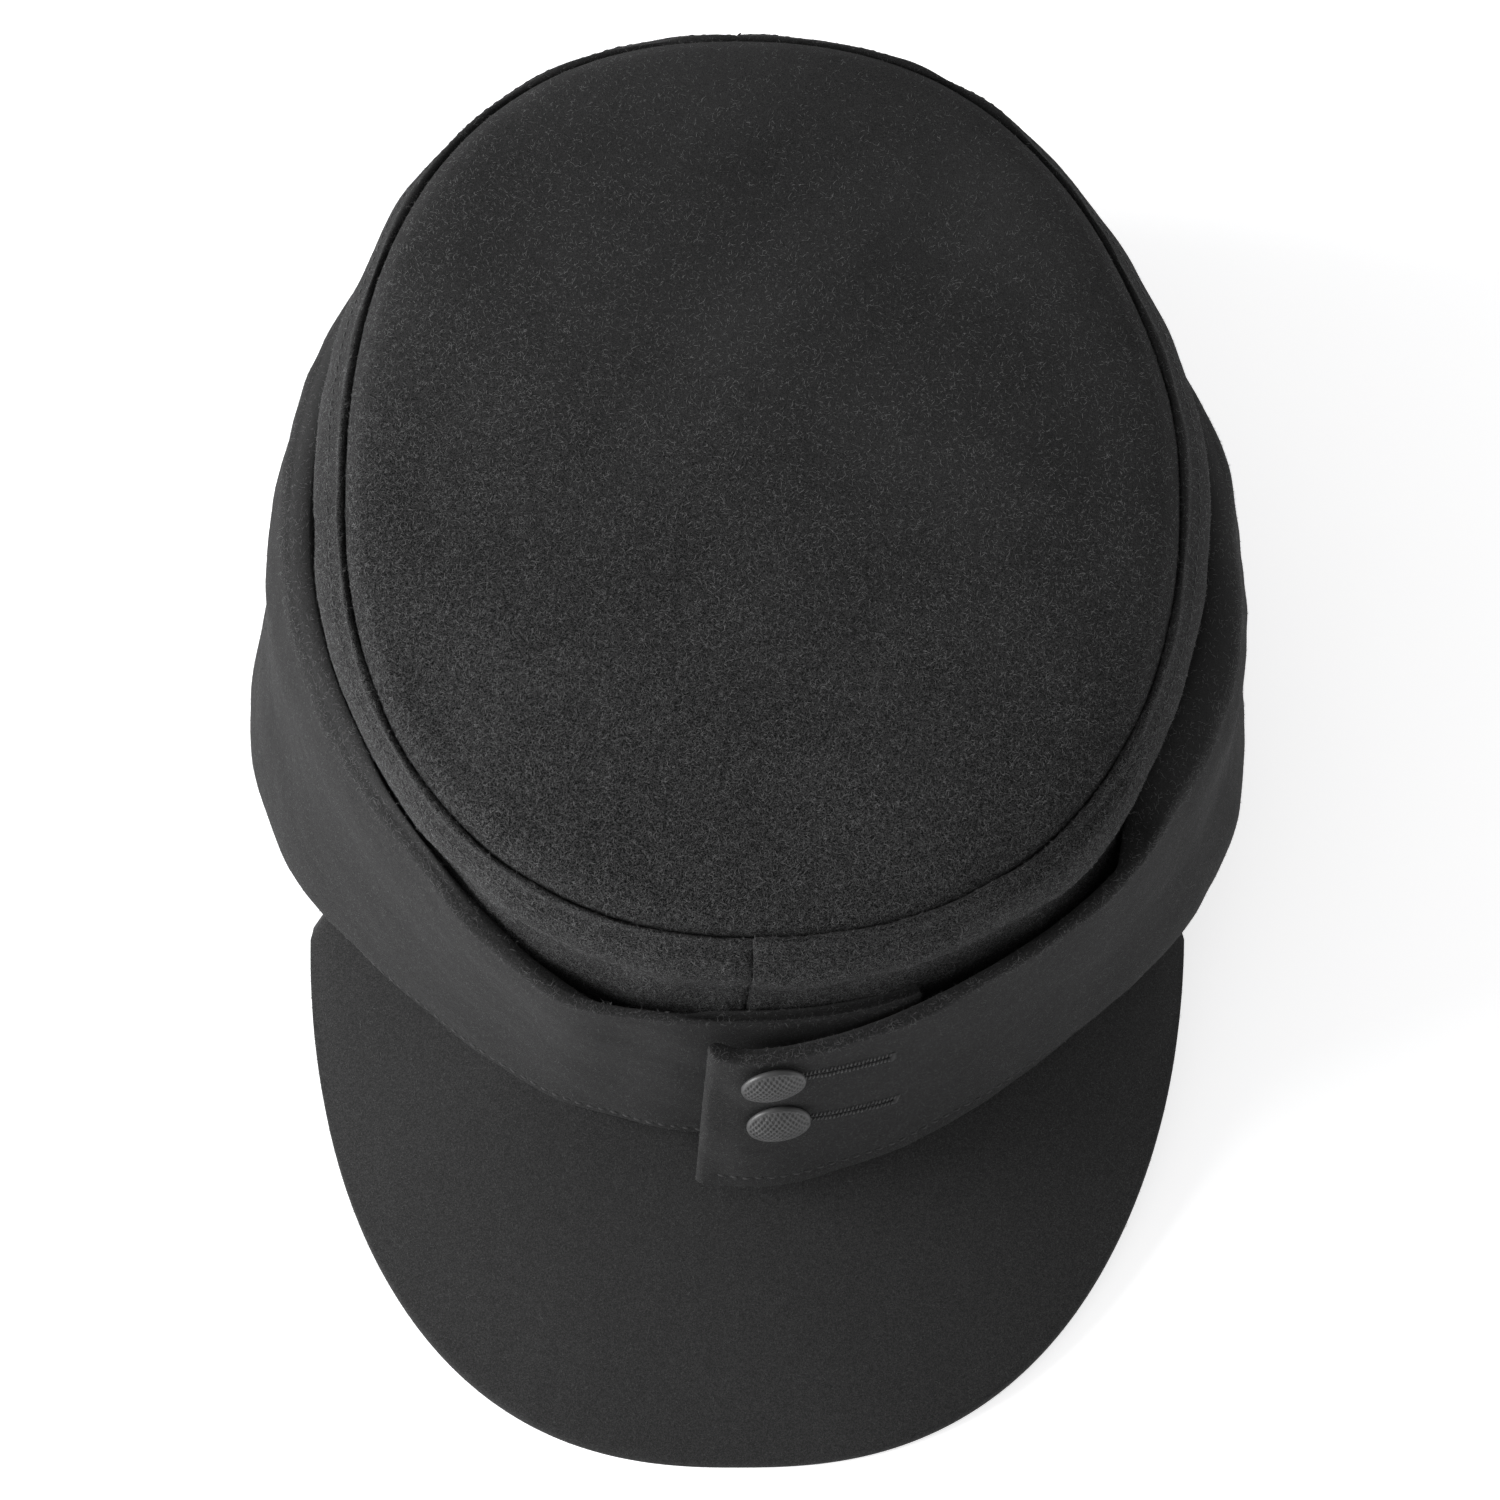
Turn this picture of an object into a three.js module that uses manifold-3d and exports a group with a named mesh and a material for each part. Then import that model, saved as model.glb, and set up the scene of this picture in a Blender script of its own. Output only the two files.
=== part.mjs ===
// Field cap of black wool: a soft oval crown with a stitched shoulder, a turn-up flap that
// closes at the front with a two-button tab, and a long cloth-covered peak.
// Millimetres, +Z up, the front of the cap towards -Y. The cap lies as it rests by itself,
// on the back of its rim and the tip of its peak.

import * as THREE from 'three';
import Module from 'manifold-3d';

// Cloth thicknesses and clearances
const wallCloth = 2.2;
const flapCloth = 3.0;
const peakBoard = 3.6;
const seamGap = 0.3;
const hugGap = 0.6;
const edgeGap = 1.7;

// Directions round the cap are degrees from the front, positive towards +X
const frontSeamAngle = -1.4;
const backSeamAngle = 180;

// Side panel sections from the rim up to the crown seam. Each is an oval whose height runs
// from a front value to a back value, whose middle bends aside towards the back, and whose
// fullness is a superellipse exponent.
const wallSections = table(
  ['frontHeight', 'backHeight', 'frontX', 'backX', 'middleY',
    'halfWidth', 'frontReach', 'backReach', 'frontFull', 'backFull'],
  {
    rim: [0, 0, -0.5, -2, 0, 84.5, 93.5, 98, 2.0, 1.9],
    hem: [8, 8, -0.4, -2, 0, 84.6, 93.6, 98, 2.0, 1.9],
    waist: [26, 28, 0, -2.5, 0, 84.6, 93.8, 97.5, 1.98, 1.88],
    middle: [44, 48, 0.5, -3, 0, 84.6, 94, 96.8, 1.94, 1.85],
    flare: [58, 62, 1.1, -4, 0, 84.6, 94, 95.5, 1.9, 1.82],
    pinch: [65, 79, 1.8, -2.5, -0.5, 80.4, 92.4, 92.4, 2.0, 2.0],
    shoulder: [70.7, 85.7, 2.3, -2.5, -1, 80.3, 93.4, 91.6, 2.08, 2.09],
    roll: [74.6, 89.4, 2.3, -2.5, -1.5, 78.3, 91.2, 90.4, 2.16, 2.16],
    stitch: [77.2, 92, 2.3, -2.5, -2.2, 76.1, 88.4, 88.9, 2.22, 2.21],
    lip: [79.6, 94.6, 2.2, -2.5, -3, 74.2, 85.4, 87.4, 2.26, 2.24],
  },
);

// Top panel: how far each ring lies inside the crown seam at the side, its rise over it, and
// how much further inside it runs on the panel's underside
const topRings = table(
  ['inset', 'rise', 'underInset'],
  {
    seam: [seamGap, -0.4, 0],
    edge: [1.3, 1.2, 1],
    roll: [3, 2.4, 1],
    brow: [6.5, 3.5, 1],
    slope: [13, 4.6, 0],
    field: [24, 5.7, 0],
    plain: [40, 6.7, 0],
    middle: [58, 7.3, 0],
  },
);
const topCentreRise = 7.5;

// Soft dents and swells of the top panel: place, depth and radius. They fade near its edge.
const dentFadeInset = 6.5;
const topDents = table(
  ['x', 'y', 'depth', 'radius'],
  {
    frontLeftDent: [-55, -48, 1.6, 15],
    frontLeftSwell: [-44, -33, -0.8, 15],
    backRightDent: [32, 40, 0.8, 26],
  },
);

// Turn-up flap, a row for each section: heights of its lower and upper edge, and how far its
// inner face stands off the side panel at the lower edge, the belly, the valley and the top
const flapColumns = ['angle', 'bottom', 'top', 'bottomGap', 'bellyGap', 'valleyGap', 'topGap'];
const flapLeftSections = table(flapColumns, {
  end: [19, 9, 59, hugGap, hugGap, hugGap, hugGap],
  front: [0, 9, 60, hugGap, hugGap, hugGap, hugGap],
  besideTab: [-11, 8.6, 59.6, hugGap, hugGap, 0.9, 1.8],
  frontGap: [-22, 8, 59.8, hugGap, hugGap, 2, 4],
  frontQuarter: [-33, 7.6, 62, 0.6, 0.8, 1.6, 2.8],
  quarter: [-45, 7, 65, 1.2, 2.8, 1.6, 1.2],
  peakCorner: [-61, 6, 66, 4, 7.4, 3, edgeGap],
  temple: [-75, 2.4, 66, 1.2, 8.2, 3.5, edgeGap],
  side: [-90, 1.8, 66, hugGap, 5.8, 3, edgeGap],
  behindSide: [-106, 1.8, 65, hugGap, 3.2, 2, 1.4],
  nape: [-145, 1.8, 60, hugGap, 3.6, 1.6, 1],
  back: [-180, 1.8, 56, hugGap, 3.4, 1.6, 1],
});
const flapRightSections = table(flapColumns, {
  tabEnd: [-5, 5.6, 56.6, 9.6, 8.9, 7.6, 6],
  tabNose: [0, 5.6, 57, 9.8, 9.1, 7.9, 6.4],
  tab: [8, 5.6, 57.6, 8.3, 7.7, 6.6, 5.5],
  tabRoot: [18, 5.6, 58.8, 6.2, 6, 5, 4.6],
  frontQuarter: [28, 5.4, 61, 4.9, 5.4, 5, 4.8],
  pocket: [44, 5.2, 64.5, 4.6, 7.2, 6.2, 6.4],
  peakCorner: [60, 5.2, 66, 5.4, 10.2, 6.6, 6.4],
  temple: [74, 2.4, 66, 1.4, 8.4, 5.2, 4.6],
  side: [88, 1.8, 65, hugGap, 3.8, 2.6, edgeGap],
  behindSide: [103, 1.8, 62, hugGap, 1.8, 1.2, 0.9],
  nape: [140, 1.8, 58, hugGap, 1.8, 1.2, 1],
  back: [180, 1.8, 56, hugGap, 3.4, 1.6, 1],
});
const bellyAt = 0.2;
const valleyAt = 0.6;
const tabEndLean = 0.6;
const flapBulge = 0.9;

// Peak: a board bent into a shallow cone, with a superellipse outline
const peakRootAngle = 63;
const peakRootHeight = 4.2;
const peakHalfWidth = 82;
const peakShoulderY = -54.5;
const peakReach = 95.5;
const peakSideFull = 2.6;
const peakFrontFull = 1.87;
const peakSlope = 0.46;
const peakMiddleX = -0.5;
const peakTipX = -2;
const peakBulge = 0.8;

// Buttons on the tab, and the buttonhole that runs sideways from each
const buttonRadius = 5.9;
const buttonDome = 1.9;
const buttonRimHeight = 0.8;
const buttonBackBevel = 0.5;
const shankRadius = 1.3;
const buttonLift = 0.5;
const domeRings = table(
  ['radiusShare', 'domeShare'],
  {
    rim: [1, 0],
    brow: [0.92, 0.28],
    slope: [0.72, 0.62],
    crown: [0.42, 0.9],
    pole: [0, 1],
  },
);
const buttonholeLength = 22;
const buttonholeSlit = 0.7;
const buttonholeEye = 3.4;
const buttonholeTaper = 4.4;
const cutMargin = 2;
const buttons = table(
  ['angle', 'height'],
  {
    button_upper: [2.3, 49.3],
    button_lower: [2.7, 34.3],
  },
);

// How deep the cloth is pressed flat where the back of the rim and the peak's tip rest
const restSink = 0.5;

// Mesh fineness
const wallSteps = 27;
const flapSteps = 40;
const flapRows = [0, 0.07, 0.16, 0.28, 0.42, 0.58, 0.74, 0.88, 1];
const peakSteps = 24;
const peakRows = 5;
const buttonSteps = 20;
const eyeSteps = 7;
const weldsPerMillimetre = 1e4;

// A table of rows with named columns, as objects
function table(columns, rows) {
  return Object.entries(rows).map(([name, values]) => {
    const row = { name };
    columns.forEach((column, i) => {
      row[column] = values[i];
    });
    return row;
  });
}

function lerp(a, b, share) {
  return a + (b - a) * share;
}

// A smooth curve through knots (at, value), flat at its ends
function smoothThrough(knots, at) {
  const last = knots.length - 1;
  if (at <= knots[0][0]) return knots[0][1];
  if (at >= knots[last][0]) return knots[last][1];
  let k = 0;
  while (knots[k + 1][0] < at) k += 1;
  const slope = (i) => {
    if (i === 0 || i === last) return 0;
    return (knots[i + 1][1] - knots[i - 1][1]) / (knots[i + 1][0] - knots[i - 1][0]);
  };
  const span = knots[k + 1][0] - knots[k][0];
  const s = (at - knots[k][0]) / span;
  const start = knots[k][1] * (1 + 2 * s) * (1 - s) ** 2 + slope(k) * span * s * (1 - s) ** 2;
  const end = knots[k + 1][1] * s * s * (3 - 2 * s) + slope(k + 1) * span * s * s * (s - 1);
  return start + end;
}

// A point of an oval section, scaled about its middle
function ovalPoint(section, degrees, scale = 1) {
  const angle = THREE.MathUtils.degToRad(degrees);
  const sine = Math.sin(angle);
  const cosine = Math.cos(angle);
  const power = cosine > 0 ? section.frontFull : section.backFull;
  const radius = (Math.abs(sine) ** power + Math.abs(cosine) ** power) ** (-1 / power);
  const reach = cosine > 0 ? section.frontReach : section.backReach;
  const y = section.middleY - reach * cosine * radius * scale;
  const { x, z } = sectionMiddle(section, y);
  return new THREE.Vector3(x + section.halfWidth * sine * radius * scale, y, z);
}

// Middle of a section's slanted plane at one distance from the front
function sectionMiddle(section, y) {
  const front = section.middleY - section.frontReach;
  const back = section.middleY + section.backReach;
  const share = (y - front) / (back - front);
  const bend = Math.max(0, (y - section.middleY) / section.backReach) ** 2;
  const x = lerp(section.frontX, section.backX, bend);
  return new THREE.Vector3(x, y, lerp(section.frontHeight, section.backHeight, share));
}

// Place on the side panel's outer face in one direction and at one height
function wallAt(degrees, height) {
  const points = wallSections.map((section) => ovalPoint(section, degrees));
  let k = 0;
  while (k < points.length - 2 && points[k + 1].z < height) k += 1;
  const share = (height - points[k].z) / (points[k + 1].z - points[k].z);
  const point = points[k].clone().lerp(points[k + 1], share);
  point.z = height;
  return point;
}

// Level direction that points straight out of the side panel
function outwardAt(degrees, height) {
  const step = 0.5;
  const along = wallAt(degrees + step, height).sub(wallAt(degrees - step, height));
  return new THREE.Vector3(-along.y, along.x, 0).normalize().negate();
}

// The peak's root ring, held off the side panel by the board's slanted end
const rim = wallSections[0];
const peakStandOff = hugGap + peakBulge + peakBoard * Math.sin(Math.atan(peakSlope));

// Lowest corner of the peak's tip, as its distance in front of the middle and below the rim
const tipReach = peakReach - peakShoulderY;
const tipLength = tipReach - rim.frontReach - peakStandOff;
const underTipReach = tipReach - peakBoard * Math.sin(Math.atan(peakSlope));
const underTipDrop = peakSlope * tipLength - peakRootHeight + peakBoard * Math.cos(Math.atan(peakSlope));

// The cap rests tipped back, so far that the back of its rim and the tip of its peak touch.
// Turn a point of the cap's own frame into that pose, pressed flat on the surface.
const restTilt = Math.atan(underTipDrop / (rim.backReach + underTipReach));
const restLift = rim.backReach * Math.sin(restTilt) - restSink;
function rest(point) {
  const y = point.y * Math.cos(restTilt) + point.z * Math.sin(restTilt);
  const z = point.z * Math.cos(restTilt) - point.y * Math.sin(restTilt) + restLift;
  return new THREE.Vector3(point.x, y, Math.max(z, 0));
}

// Unit normals of a grid of points, by the differences along its rows and columns
function gridNormals(grid) {
  const rows = grid.length;
  const columns = grid[0].length;
  return grid.map((row, i) => row.map((point, j) => {
    const up = grid[Math.min(i + 1, rows - 1)][j].clone().sub(grid[Math.max(i - 1, 0)][j]);
    const along = row[Math.min(j + 1, columns - 1)].clone().sub(row[Math.max(j - 1, 0)]);
    return along.cross(up).normalize();
  }));
}

function shifted(grid, normals, distance) {
  return grid.map((row, i) => row.map((point, j) => point.clone().addScaledVector(normals[i][j], distance)));
}

function geometryOf(points, triangles) {
  const geometry = new THREE.BufferGeometry();
  const numbers = points.flatMap((point) => rest(point).toArray());
  geometry.setAttribute('position', new THREE.Float32BufferAttribute(numbers, 3));
  geometry.setIndex(triangles.flat());
  geometry.computeVertexNormals();
  return geometry;
}

// A closed sheet of cloth between an outer and an inner grid of points, with a rounded edge.
// Seen from outside, columns run to the right and rows run up.
function sheetGeometry(outer, inner, bulge) {
  const rows = outer.length;
  const columns = outer[0].length;
  const points = [...outer.flat(), ...inner.flat()];
  const outerAt = (i, j) => i * columns + j;
  const innerAt = (i, j) => rows * columns + i * columns + j;
  const triangles = [];
  const quad = (a, b, c, d) => triangles.push([a, b, c], [a, c, d]);
  for (let i = 0; i < rows - 1; i += 1) {
    for (let j = 0; j < columns - 1; j += 1) {
      quad(outerAt(i, j), outerAt(i, j + 1), outerAt(i + 1, j + 1), outerAt(i + 1, j));
      quad(innerAt(i, j), innerAt(i + 1, j), innerAt(i + 1, j + 1), innerAt(i, j + 1));
    }
  }
  const border = [];
  for (let j = 0; j < columns - 1; j += 1) border.push([0, j]);
  for (let i = 0; i < rows - 1; i += 1) border.push([i, columns - 1]);
  for (let j = columns - 1; j > 0; j -= 1) border.push([rows - 1, j]);
  for (let i = rows - 1; i > 0; i -= 1) border.push([i, 0]);
  const middle = (i, j) => outer[i][j].clone().add(inner[i][j]).multiplyScalar(0.5);
  const ring = border.map(([i, j]) => {
    const insideRow = Math.min(Math.max(i, 1), rows - 2);
    const insideColumn = Math.min(Math.max(j, 1), columns - 2);
    const edge = middle(i, j);
    const away = edge.clone().sub(middle(insideRow, insideColumn)).normalize();
    points.push(edge.addScaledVector(away, bulge));
    return points.length - 1;
  });
  border.forEach(([i, j], k) => {
    const next = (k + 1) % border.length;
    const [ni, nj] = border[next];
    quad(outerAt(i, j), ring[k], ring[next], outerAt(ni, nj));
    quad(ring[k], innerAt(i, j), innerAt(ni, nj), ring[next]);
  });
  return geometryOf(points, triangles);
}

// A closed skin through rings of points, from a first pole to a last one
function ringsGeometry(firstPole, rings, lastPole) {
  const count = rings[0].length;
  const points = [firstPole, ...rings.flat(), lastPole];
  const at = (i, j) => 1 + i * count + (j % count);
  const triangles = [];
  for (let j = 0; j < count; j += 1) {
    triangles.push([0, at(0, j + 1), at(0, j)]);
    for (let i = 0; i < rings.length - 1; i += 1) {
      triangles.push([at(i, j), at(i, j + 1), at(i + 1, j + 1)], [at(i, j), at(i + 1, j + 1), at(i + 1, j)]);
    }
    triangles.push([points.length - 1, at(rings.length - 1, j), at(rings.length - 1, j + 1)]);
  }
  return geometryOf(points, triangles);
}

// Evenly spread directions from one to another
function spread(fromAngle, toAngle, steps) {
  return Array.from({ length: steps + 1 }, (_, j) => lerp(fromAngle, toAngle, j / steps));
}

// Side panel between two directions, with its top edge cut upright at the crown seam
function sidePanelGeometry(fromAngle, toAngle) {
  const step = (toAngle - fromAngle) / wallSteps;
  const angles = spread(fromAngle - step, toAngle + step, wallSteps + 2);
  const wide = wallSections.map((section) => angles.map((angle) => ovalPoint(section, angle)));
  const outer = wide.map((row) => row.slice(1, -1));
  const normals = gridNormals(wide).map((row) => row.slice(1, -1));
  const last = normals.length - 1;
  const up = new THREE.Vector3(0, 0, 1);
  normals[last] = normals[last].map(() => up);
  normals[last - 1] = normals[last - 1].map((normal) => normal.add(up).normalize());
  normals[0] = normals[0].map((normal) => new THREE.Vector3(normal.x, normal.y, 0).normalize());
  return sheetGeometry(outer, shifted(outer, normals, -wallCloth), 0);
}

// Rise of the top panel's dents and swells at one place
function dentAt(x, y) {
  return topDents.reduce((sum, dent) => {
    const distance = Math.hypot(x - dent.x, y - dent.y) / dent.radius;
    return sum - dent.depth * Math.exp(-distance * distance);
  }, 0);
}

function topPanelGeometry() {
  const lip = wallSections[wallSections.length - 1];
  const rightAngles = spread(frontSeamAngle, backSeamAngle, wallSteps);
  const leftAngles = spread(-backSeamAngle, frontSeamAngle, wallSteps);
  const angles = [...rightAngles.slice(1), ...leftAngles.slice(1)];
  const ringOf = (inset, rise) => angles.map((angle) => {
    const point = ovalPoint(lip, angle, 1 - inset / lip.halfWidth);
    const fade = Math.min(1, inset / dentFadeInset);
    point.z += rise + fade * dentAt(point.x, point.y);
    return point;
  });
  const outer = topRings.map((ring) => ringOf(ring.inset, ring.rise));
  const inner = topRings.map((ring) => ringOf(ring.inset + ring.underInset, ring.rise - wallCloth));
  const centre = sectionMiddle(lip, lip.middleY);
  centre.z += topCentreRise;
  const underCentre = centre.clone();
  underCentre.z -= wallCloth;
  return ringsGeometry(underCentre, [...inner.reverse(), ...outer], centre);
}

// Value of a flap table's column in one direction
function flapValue(sections, column, degrees) {
  const knots = sections.map((section) => [section.angle, section[column]]);
  knots.sort((a, b) => a[0] - b[0]);
  return smoothThrough(knots, degrees);
}

// Middle of the flap's cloth in one direction, at a share of its height, and beyond by an offset
function flapPoint(sections, degrees, share, offset = 0) {
  const value = (column) => flapValue(sections, column, degrees);
  const height = lerp(value('bottom'), value('top'), share);
  const gap = smoothThrough(
    [[0, value('bottomGap')], [bellyAt, value('bellyGap')], [valleyAt, value('valleyGap')], [1, value('topGap')]],
    share,
  );
  const reach = gap + flapCloth / 2 + offset;
  return wallAt(degrees, height).addScaledVector(outwardAt(degrees, height), reach);
}

// Flap between two directions, whose first end leans as it rises
function flapGeometry(sections, fromAngle, toAngle, startLean) {
  const wide = flapRows.map((share) => {
    const start = fromAngle + startLean * share;
    const step = (toAngle - start) / flapSteps;
    const angles = spread(start - step, toAngle + step, flapSteps + 2);
    return angles.map((angle) => flapPoint(sections, angle, share));
  });
  const middle = wide.map((row) => row.slice(1, -1));
  const normals = gridNormals(wide).map((row) => row.slice(1, -1));
  const half = flapCloth / 2;
  return sheetGeometry(shifted(middle, normals, half), shifted(middle, normals, -half), flapBulge);
}

// Outline of the peak: a superellipse, which runs back under the flap to the root
function peakEdge(share) {
  const turn = THREE.MathUtils.degToRad(lerp(-90, 90, share));
  const aside = Math.sign(turn) * Math.abs(Math.sin(turn)) ** (2 / peakSideFull);
  const forward = Math.abs(Math.cos(turn)) ** (2 / peakFrontFull);
  const x = lerp(peakMiddleX, peakTipX, forward) + peakHalfWidth * aside;
  return new THREE.Vector3(x, peakShoulderY - peakReach * forward, 0);
}

function peakGeometry() {
  const top = [];
  for (let i = peakRows; i >= 0; i -= 1) {
    const row = [];
    for (let j = 0; j <= peakSteps; j += 1) {
      const angle = lerp(-peakRootAngle, peakRootAngle, j / peakSteps);
      const root = ovalPoint(rim, angle).addScaledVector(outwardAt(angle, rim.frontHeight), peakStandOff);
      root.z = peakRootHeight;
      const edge = peakEdge(j / peakSteps);
      const length = Math.hypot(edge.x - root.x, edge.y - root.y);
      edge.z = peakRootHeight - peakSlope * length;
      row.push(root.lerp(edge, i / peakRows));
    }
    top.push(row);
  }
  const normals = gridNormals(top);
  return sheetGeometry(top, shifted(top, normals, -peakBoard), peakBulge);
}

// Share of the flap's height at which a direction has a given height
function shareAt(sections, degrees, height) {
  const bottom = flapValue(sections, 'bottom', degrees);
  const top = flapValue(sections, 'top', degrees);
  return (height - bottom) / (top - bottom);
}

// Place, sideways direction and outward normal of a button on the tab's face
function buttonSeat(button) {
  const share = shareAt(flapRightSections, button.angle, button.height);
  const face = (degrees, at) => rest(flapPoint(flapRightSections, degrees, at, flapCloth / 2));
  const step = 1;
  const rise = 0.04;
  const place = face(button.angle, share);
  const sideways = face(button.angle + step, share).sub(face(button.angle - step, share)).normalize();
  const upward = face(button.angle, share + rise).sub(face(button.angle, share - rise)).normalize();
  const outward = sideways.clone().cross(upward).normalize();
  const underShare = shareAt(flapLeftSections, button.angle, button.height);
  const under = rest(flapPoint(flapLeftSections, button.angle, underShare, flapCloth / 2));
  const depth = place.clone().sub(under).dot(outward);
  return { place, sideways, outward, depth };
}

// Frame with x sideways along the tab, y up its face and z straight out of it
function seatMatrix(seat, lift) {
  const up = seat.outward.clone().cross(seat.sideways);
  const matrix = new THREE.Matrix4().makeBasis(seat.sideways, up, seat.outward);
  return matrix.setPosition(seat.place.clone().addScaledVector(seat.outward, lift));
}

// Domed button whose sewn shank reaches through the tab to the flap under it
function buttonGeometry(seat) {
  const shankLength = seat.depth + buttonLift - hugGap;
  const profile = [
    new THREE.Vector2(0, -shankLength),
    new THREE.Vector2(shankRadius, -shankLength),
    new THREE.Vector2(shankRadius, 0),
    new THREE.Vector2(buttonRadius - buttonBackBevel, 0),
    new THREE.Vector2(buttonRadius, buttonBackBevel),
  ];
  domeRings.forEach((ring) => {
    const height = buttonRimHeight + buttonDome * ring.domeShare;
    profile.push(new THREE.Vector2(buttonRadius * ring.radiusShare, height));
  });
  const geometry = new THREE.LatheGeometry(profile, buttonSteps);
  geometry.rotateX(Math.PI / 2);
  return geometry;
}

// Cutter of one buttonhole: an eye round the shank that narrows to a slit
function buttonholeGeometry() {
  const eye = buttonholeEye / 2;
  const slit = buttonholeSlit / 2;
  const outline = new THREE.Shape();
  outline.absarc(0, 0, eye, Math.PI / 3, (Math.PI * 5) / 3, false);
  outline.lineTo(buttonholeTaper, -slit);
  outline.lineTo(buttonholeLength, -slit);
  outline.lineTo(buttonholeLength, slit);
  outline.lineTo(buttonholeTaper, slit);
  outline.closePath();
  const depth = flapCloth + 2 * cutMargin;
  const settings = { depth, bevelEnabled: false, curveSegments: eyeSteps };
  const geometry = new THREE.ExtrudeGeometry(outline, settings);
  geometry.translate(0, 0, cutMargin - depth);
  return geometry;
}

const wasm = await Module();
wasm.setup();

// Merge equal corners, so that the solid is closed, and turn it into a solid for cutting
function solidOf(geometry) {
  const position = geometry.getAttribute('position');
  const index = geometry.getIndex();
  const count = index ? index.count : position.count;
  const known = new Map();
  const corners = [];
  const numbers = [];
  for (let i = 0; i < count; i += 1) {
    const from = index ? index.getX(i) : i;
    const corner = [position.getX(from), position.getY(from), position.getZ(from)];
    const key = corner.map((value) => Math.round(value * weldsPerMillimetre)).join();
    if (!known.has(key)) {
      known.set(key, numbers.length / 3);
      numbers.push(...corner);
    }
    corners.push(known.get(key));
  }
  const triVerts = [];
  for (let i = 0; i < corners.length; i += 3) {
    const [a, b, c] = corners.slice(i, i + 3);
    if (a !== b && b !== c && c !== a) triVerts.push(a, b, c);
  }
  return new wasm.Manifold(new wasm.Mesh({
    numProp: 3,
    vertProperties: new Float32Array(numbers),
    triVerts: new Uint32Array(triVerts),
  }));
}

function geometryOfSolid(solid) {
  const mesh = solid.getMesh();
  const geometry = new THREE.BufferGeometry();
  geometry.setAttribute('position', new THREE.Float32BufferAttribute(mesh.vertProperties, 3));
  geometry.setIndex([...mesh.triVerts]);
  geometry.computeVertexNormals();
  return geometry;
}

const wool = { color: 0x2f2f30, roughness: 0.96, metalness: 0 };
const buttonPaint = { color: 0x4a4a4b, roughness: 0.5, metalness: 0.3 };
const cap = new THREE.Group();
const middle = new THREE.Group();
cap.add(middle);

function addPiece(name, geometry, look) {
  const mesh = new THREE.Mesh(geometry, new THREE.MeshStandardMaterial(look));
  mesh.name = name;
  middle.add(mesh);
}

// Half of a seam's clear gap as an angle, and the flap's end at the back seam
const seamRadius = 84;
const halfSeam = THREE.MathUtils.radToDeg(seamGap / 2 / seamRadius);
const flapBackEnd = backSeamAngle - THREE.MathUtils.radToDeg((seamGap / 2 + flapBulge) / seamRadius);
const seats = buttons.map(buttonSeat);

addPiece('crown_top', topPanelGeometry(), wool);
addPiece('side_right', sidePanelGeometry(frontSeamAngle + halfSeam, backSeamAngle - halfSeam), wool);
addPiece('side_left', sidePanelGeometry(-backSeamAngle + halfSeam, frontSeamAngle - halfSeam), wool);
const leftEnd = flapLeftSections[0].angle;
addPiece('flap_left', flapGeometry(flapLeftSections, -flapBackEnd, leftEnd, 0), wool);
const rightEnd = flapRightSections[0].angle;
let flapRight = solidOf(flapGeometry(flapRightSections, rightEnd, flapBackEnd, tabEndLean));
seats.forEach((seat) => {
  flapRight = flapRight.subtract(solidOf(buttonholeGeometry().applyMatrix4(seatMatrix(seat, 0))));
});
addPiece('flap_right', geometryOfSolid(flapRight), wool);
addPiece('peak', peakGeometry(), wool);
buttons.forEach((button, i) => {
  const geometry = geometryOfSolid(solidOf(buttonGeometry(seats[i])));
  addPiece(button.name, geometry.applyMatrix4(seatMatrix(seats[i], buttonLift)), buttonPaint);
});

// The origin is the middle of the surface the cap rests on
const box = new THREE.Box3().setFromObject(middle);
middle.position.set(-(box.min.x + box.max.x) / 2, -(box.min.y + box.max.y) / 2, 0);

export default cap;
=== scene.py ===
import math

import bpy
import numpy as np
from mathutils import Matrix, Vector


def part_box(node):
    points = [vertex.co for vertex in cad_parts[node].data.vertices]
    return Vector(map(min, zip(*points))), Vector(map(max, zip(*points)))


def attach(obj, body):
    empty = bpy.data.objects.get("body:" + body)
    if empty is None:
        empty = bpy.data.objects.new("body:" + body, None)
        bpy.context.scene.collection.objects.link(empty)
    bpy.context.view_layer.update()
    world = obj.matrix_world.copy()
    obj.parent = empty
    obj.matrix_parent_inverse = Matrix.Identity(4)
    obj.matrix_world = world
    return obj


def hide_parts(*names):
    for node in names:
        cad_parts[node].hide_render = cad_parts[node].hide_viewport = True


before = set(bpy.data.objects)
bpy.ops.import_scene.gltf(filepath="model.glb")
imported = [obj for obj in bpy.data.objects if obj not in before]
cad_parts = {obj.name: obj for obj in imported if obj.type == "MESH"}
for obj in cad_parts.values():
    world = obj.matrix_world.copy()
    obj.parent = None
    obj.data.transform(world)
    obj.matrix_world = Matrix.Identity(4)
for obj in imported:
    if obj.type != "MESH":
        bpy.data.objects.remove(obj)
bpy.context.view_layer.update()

# Field cap of black wool, dressed piece by piece. Shapes are worked out in the cap's own frame
# in millimetres, then turned into the resting pose and written in metres.
# Directions round the cap are degrees from the front, positive towards +X.

MM = 0.001
WALL_CLOTH = 2.2
FLAP_CLOTH = 3.0
PEAK_BOARD = 3.6
HUG_GAP = 0.6
FRONT_SEAM = -1.4
BACK_SEAM = 180.0
BACK_SEAM_ROOM = 0.7
DEGREE_ARC = 1.47
STITCH_PITCH = 2.3
STITCH_LENGTH = 1.55
STITCH_RADIUS = 0.27
STITCH_MARGIN = 1.2
FIBRE_HALF_WIDTH = 0.04


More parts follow.
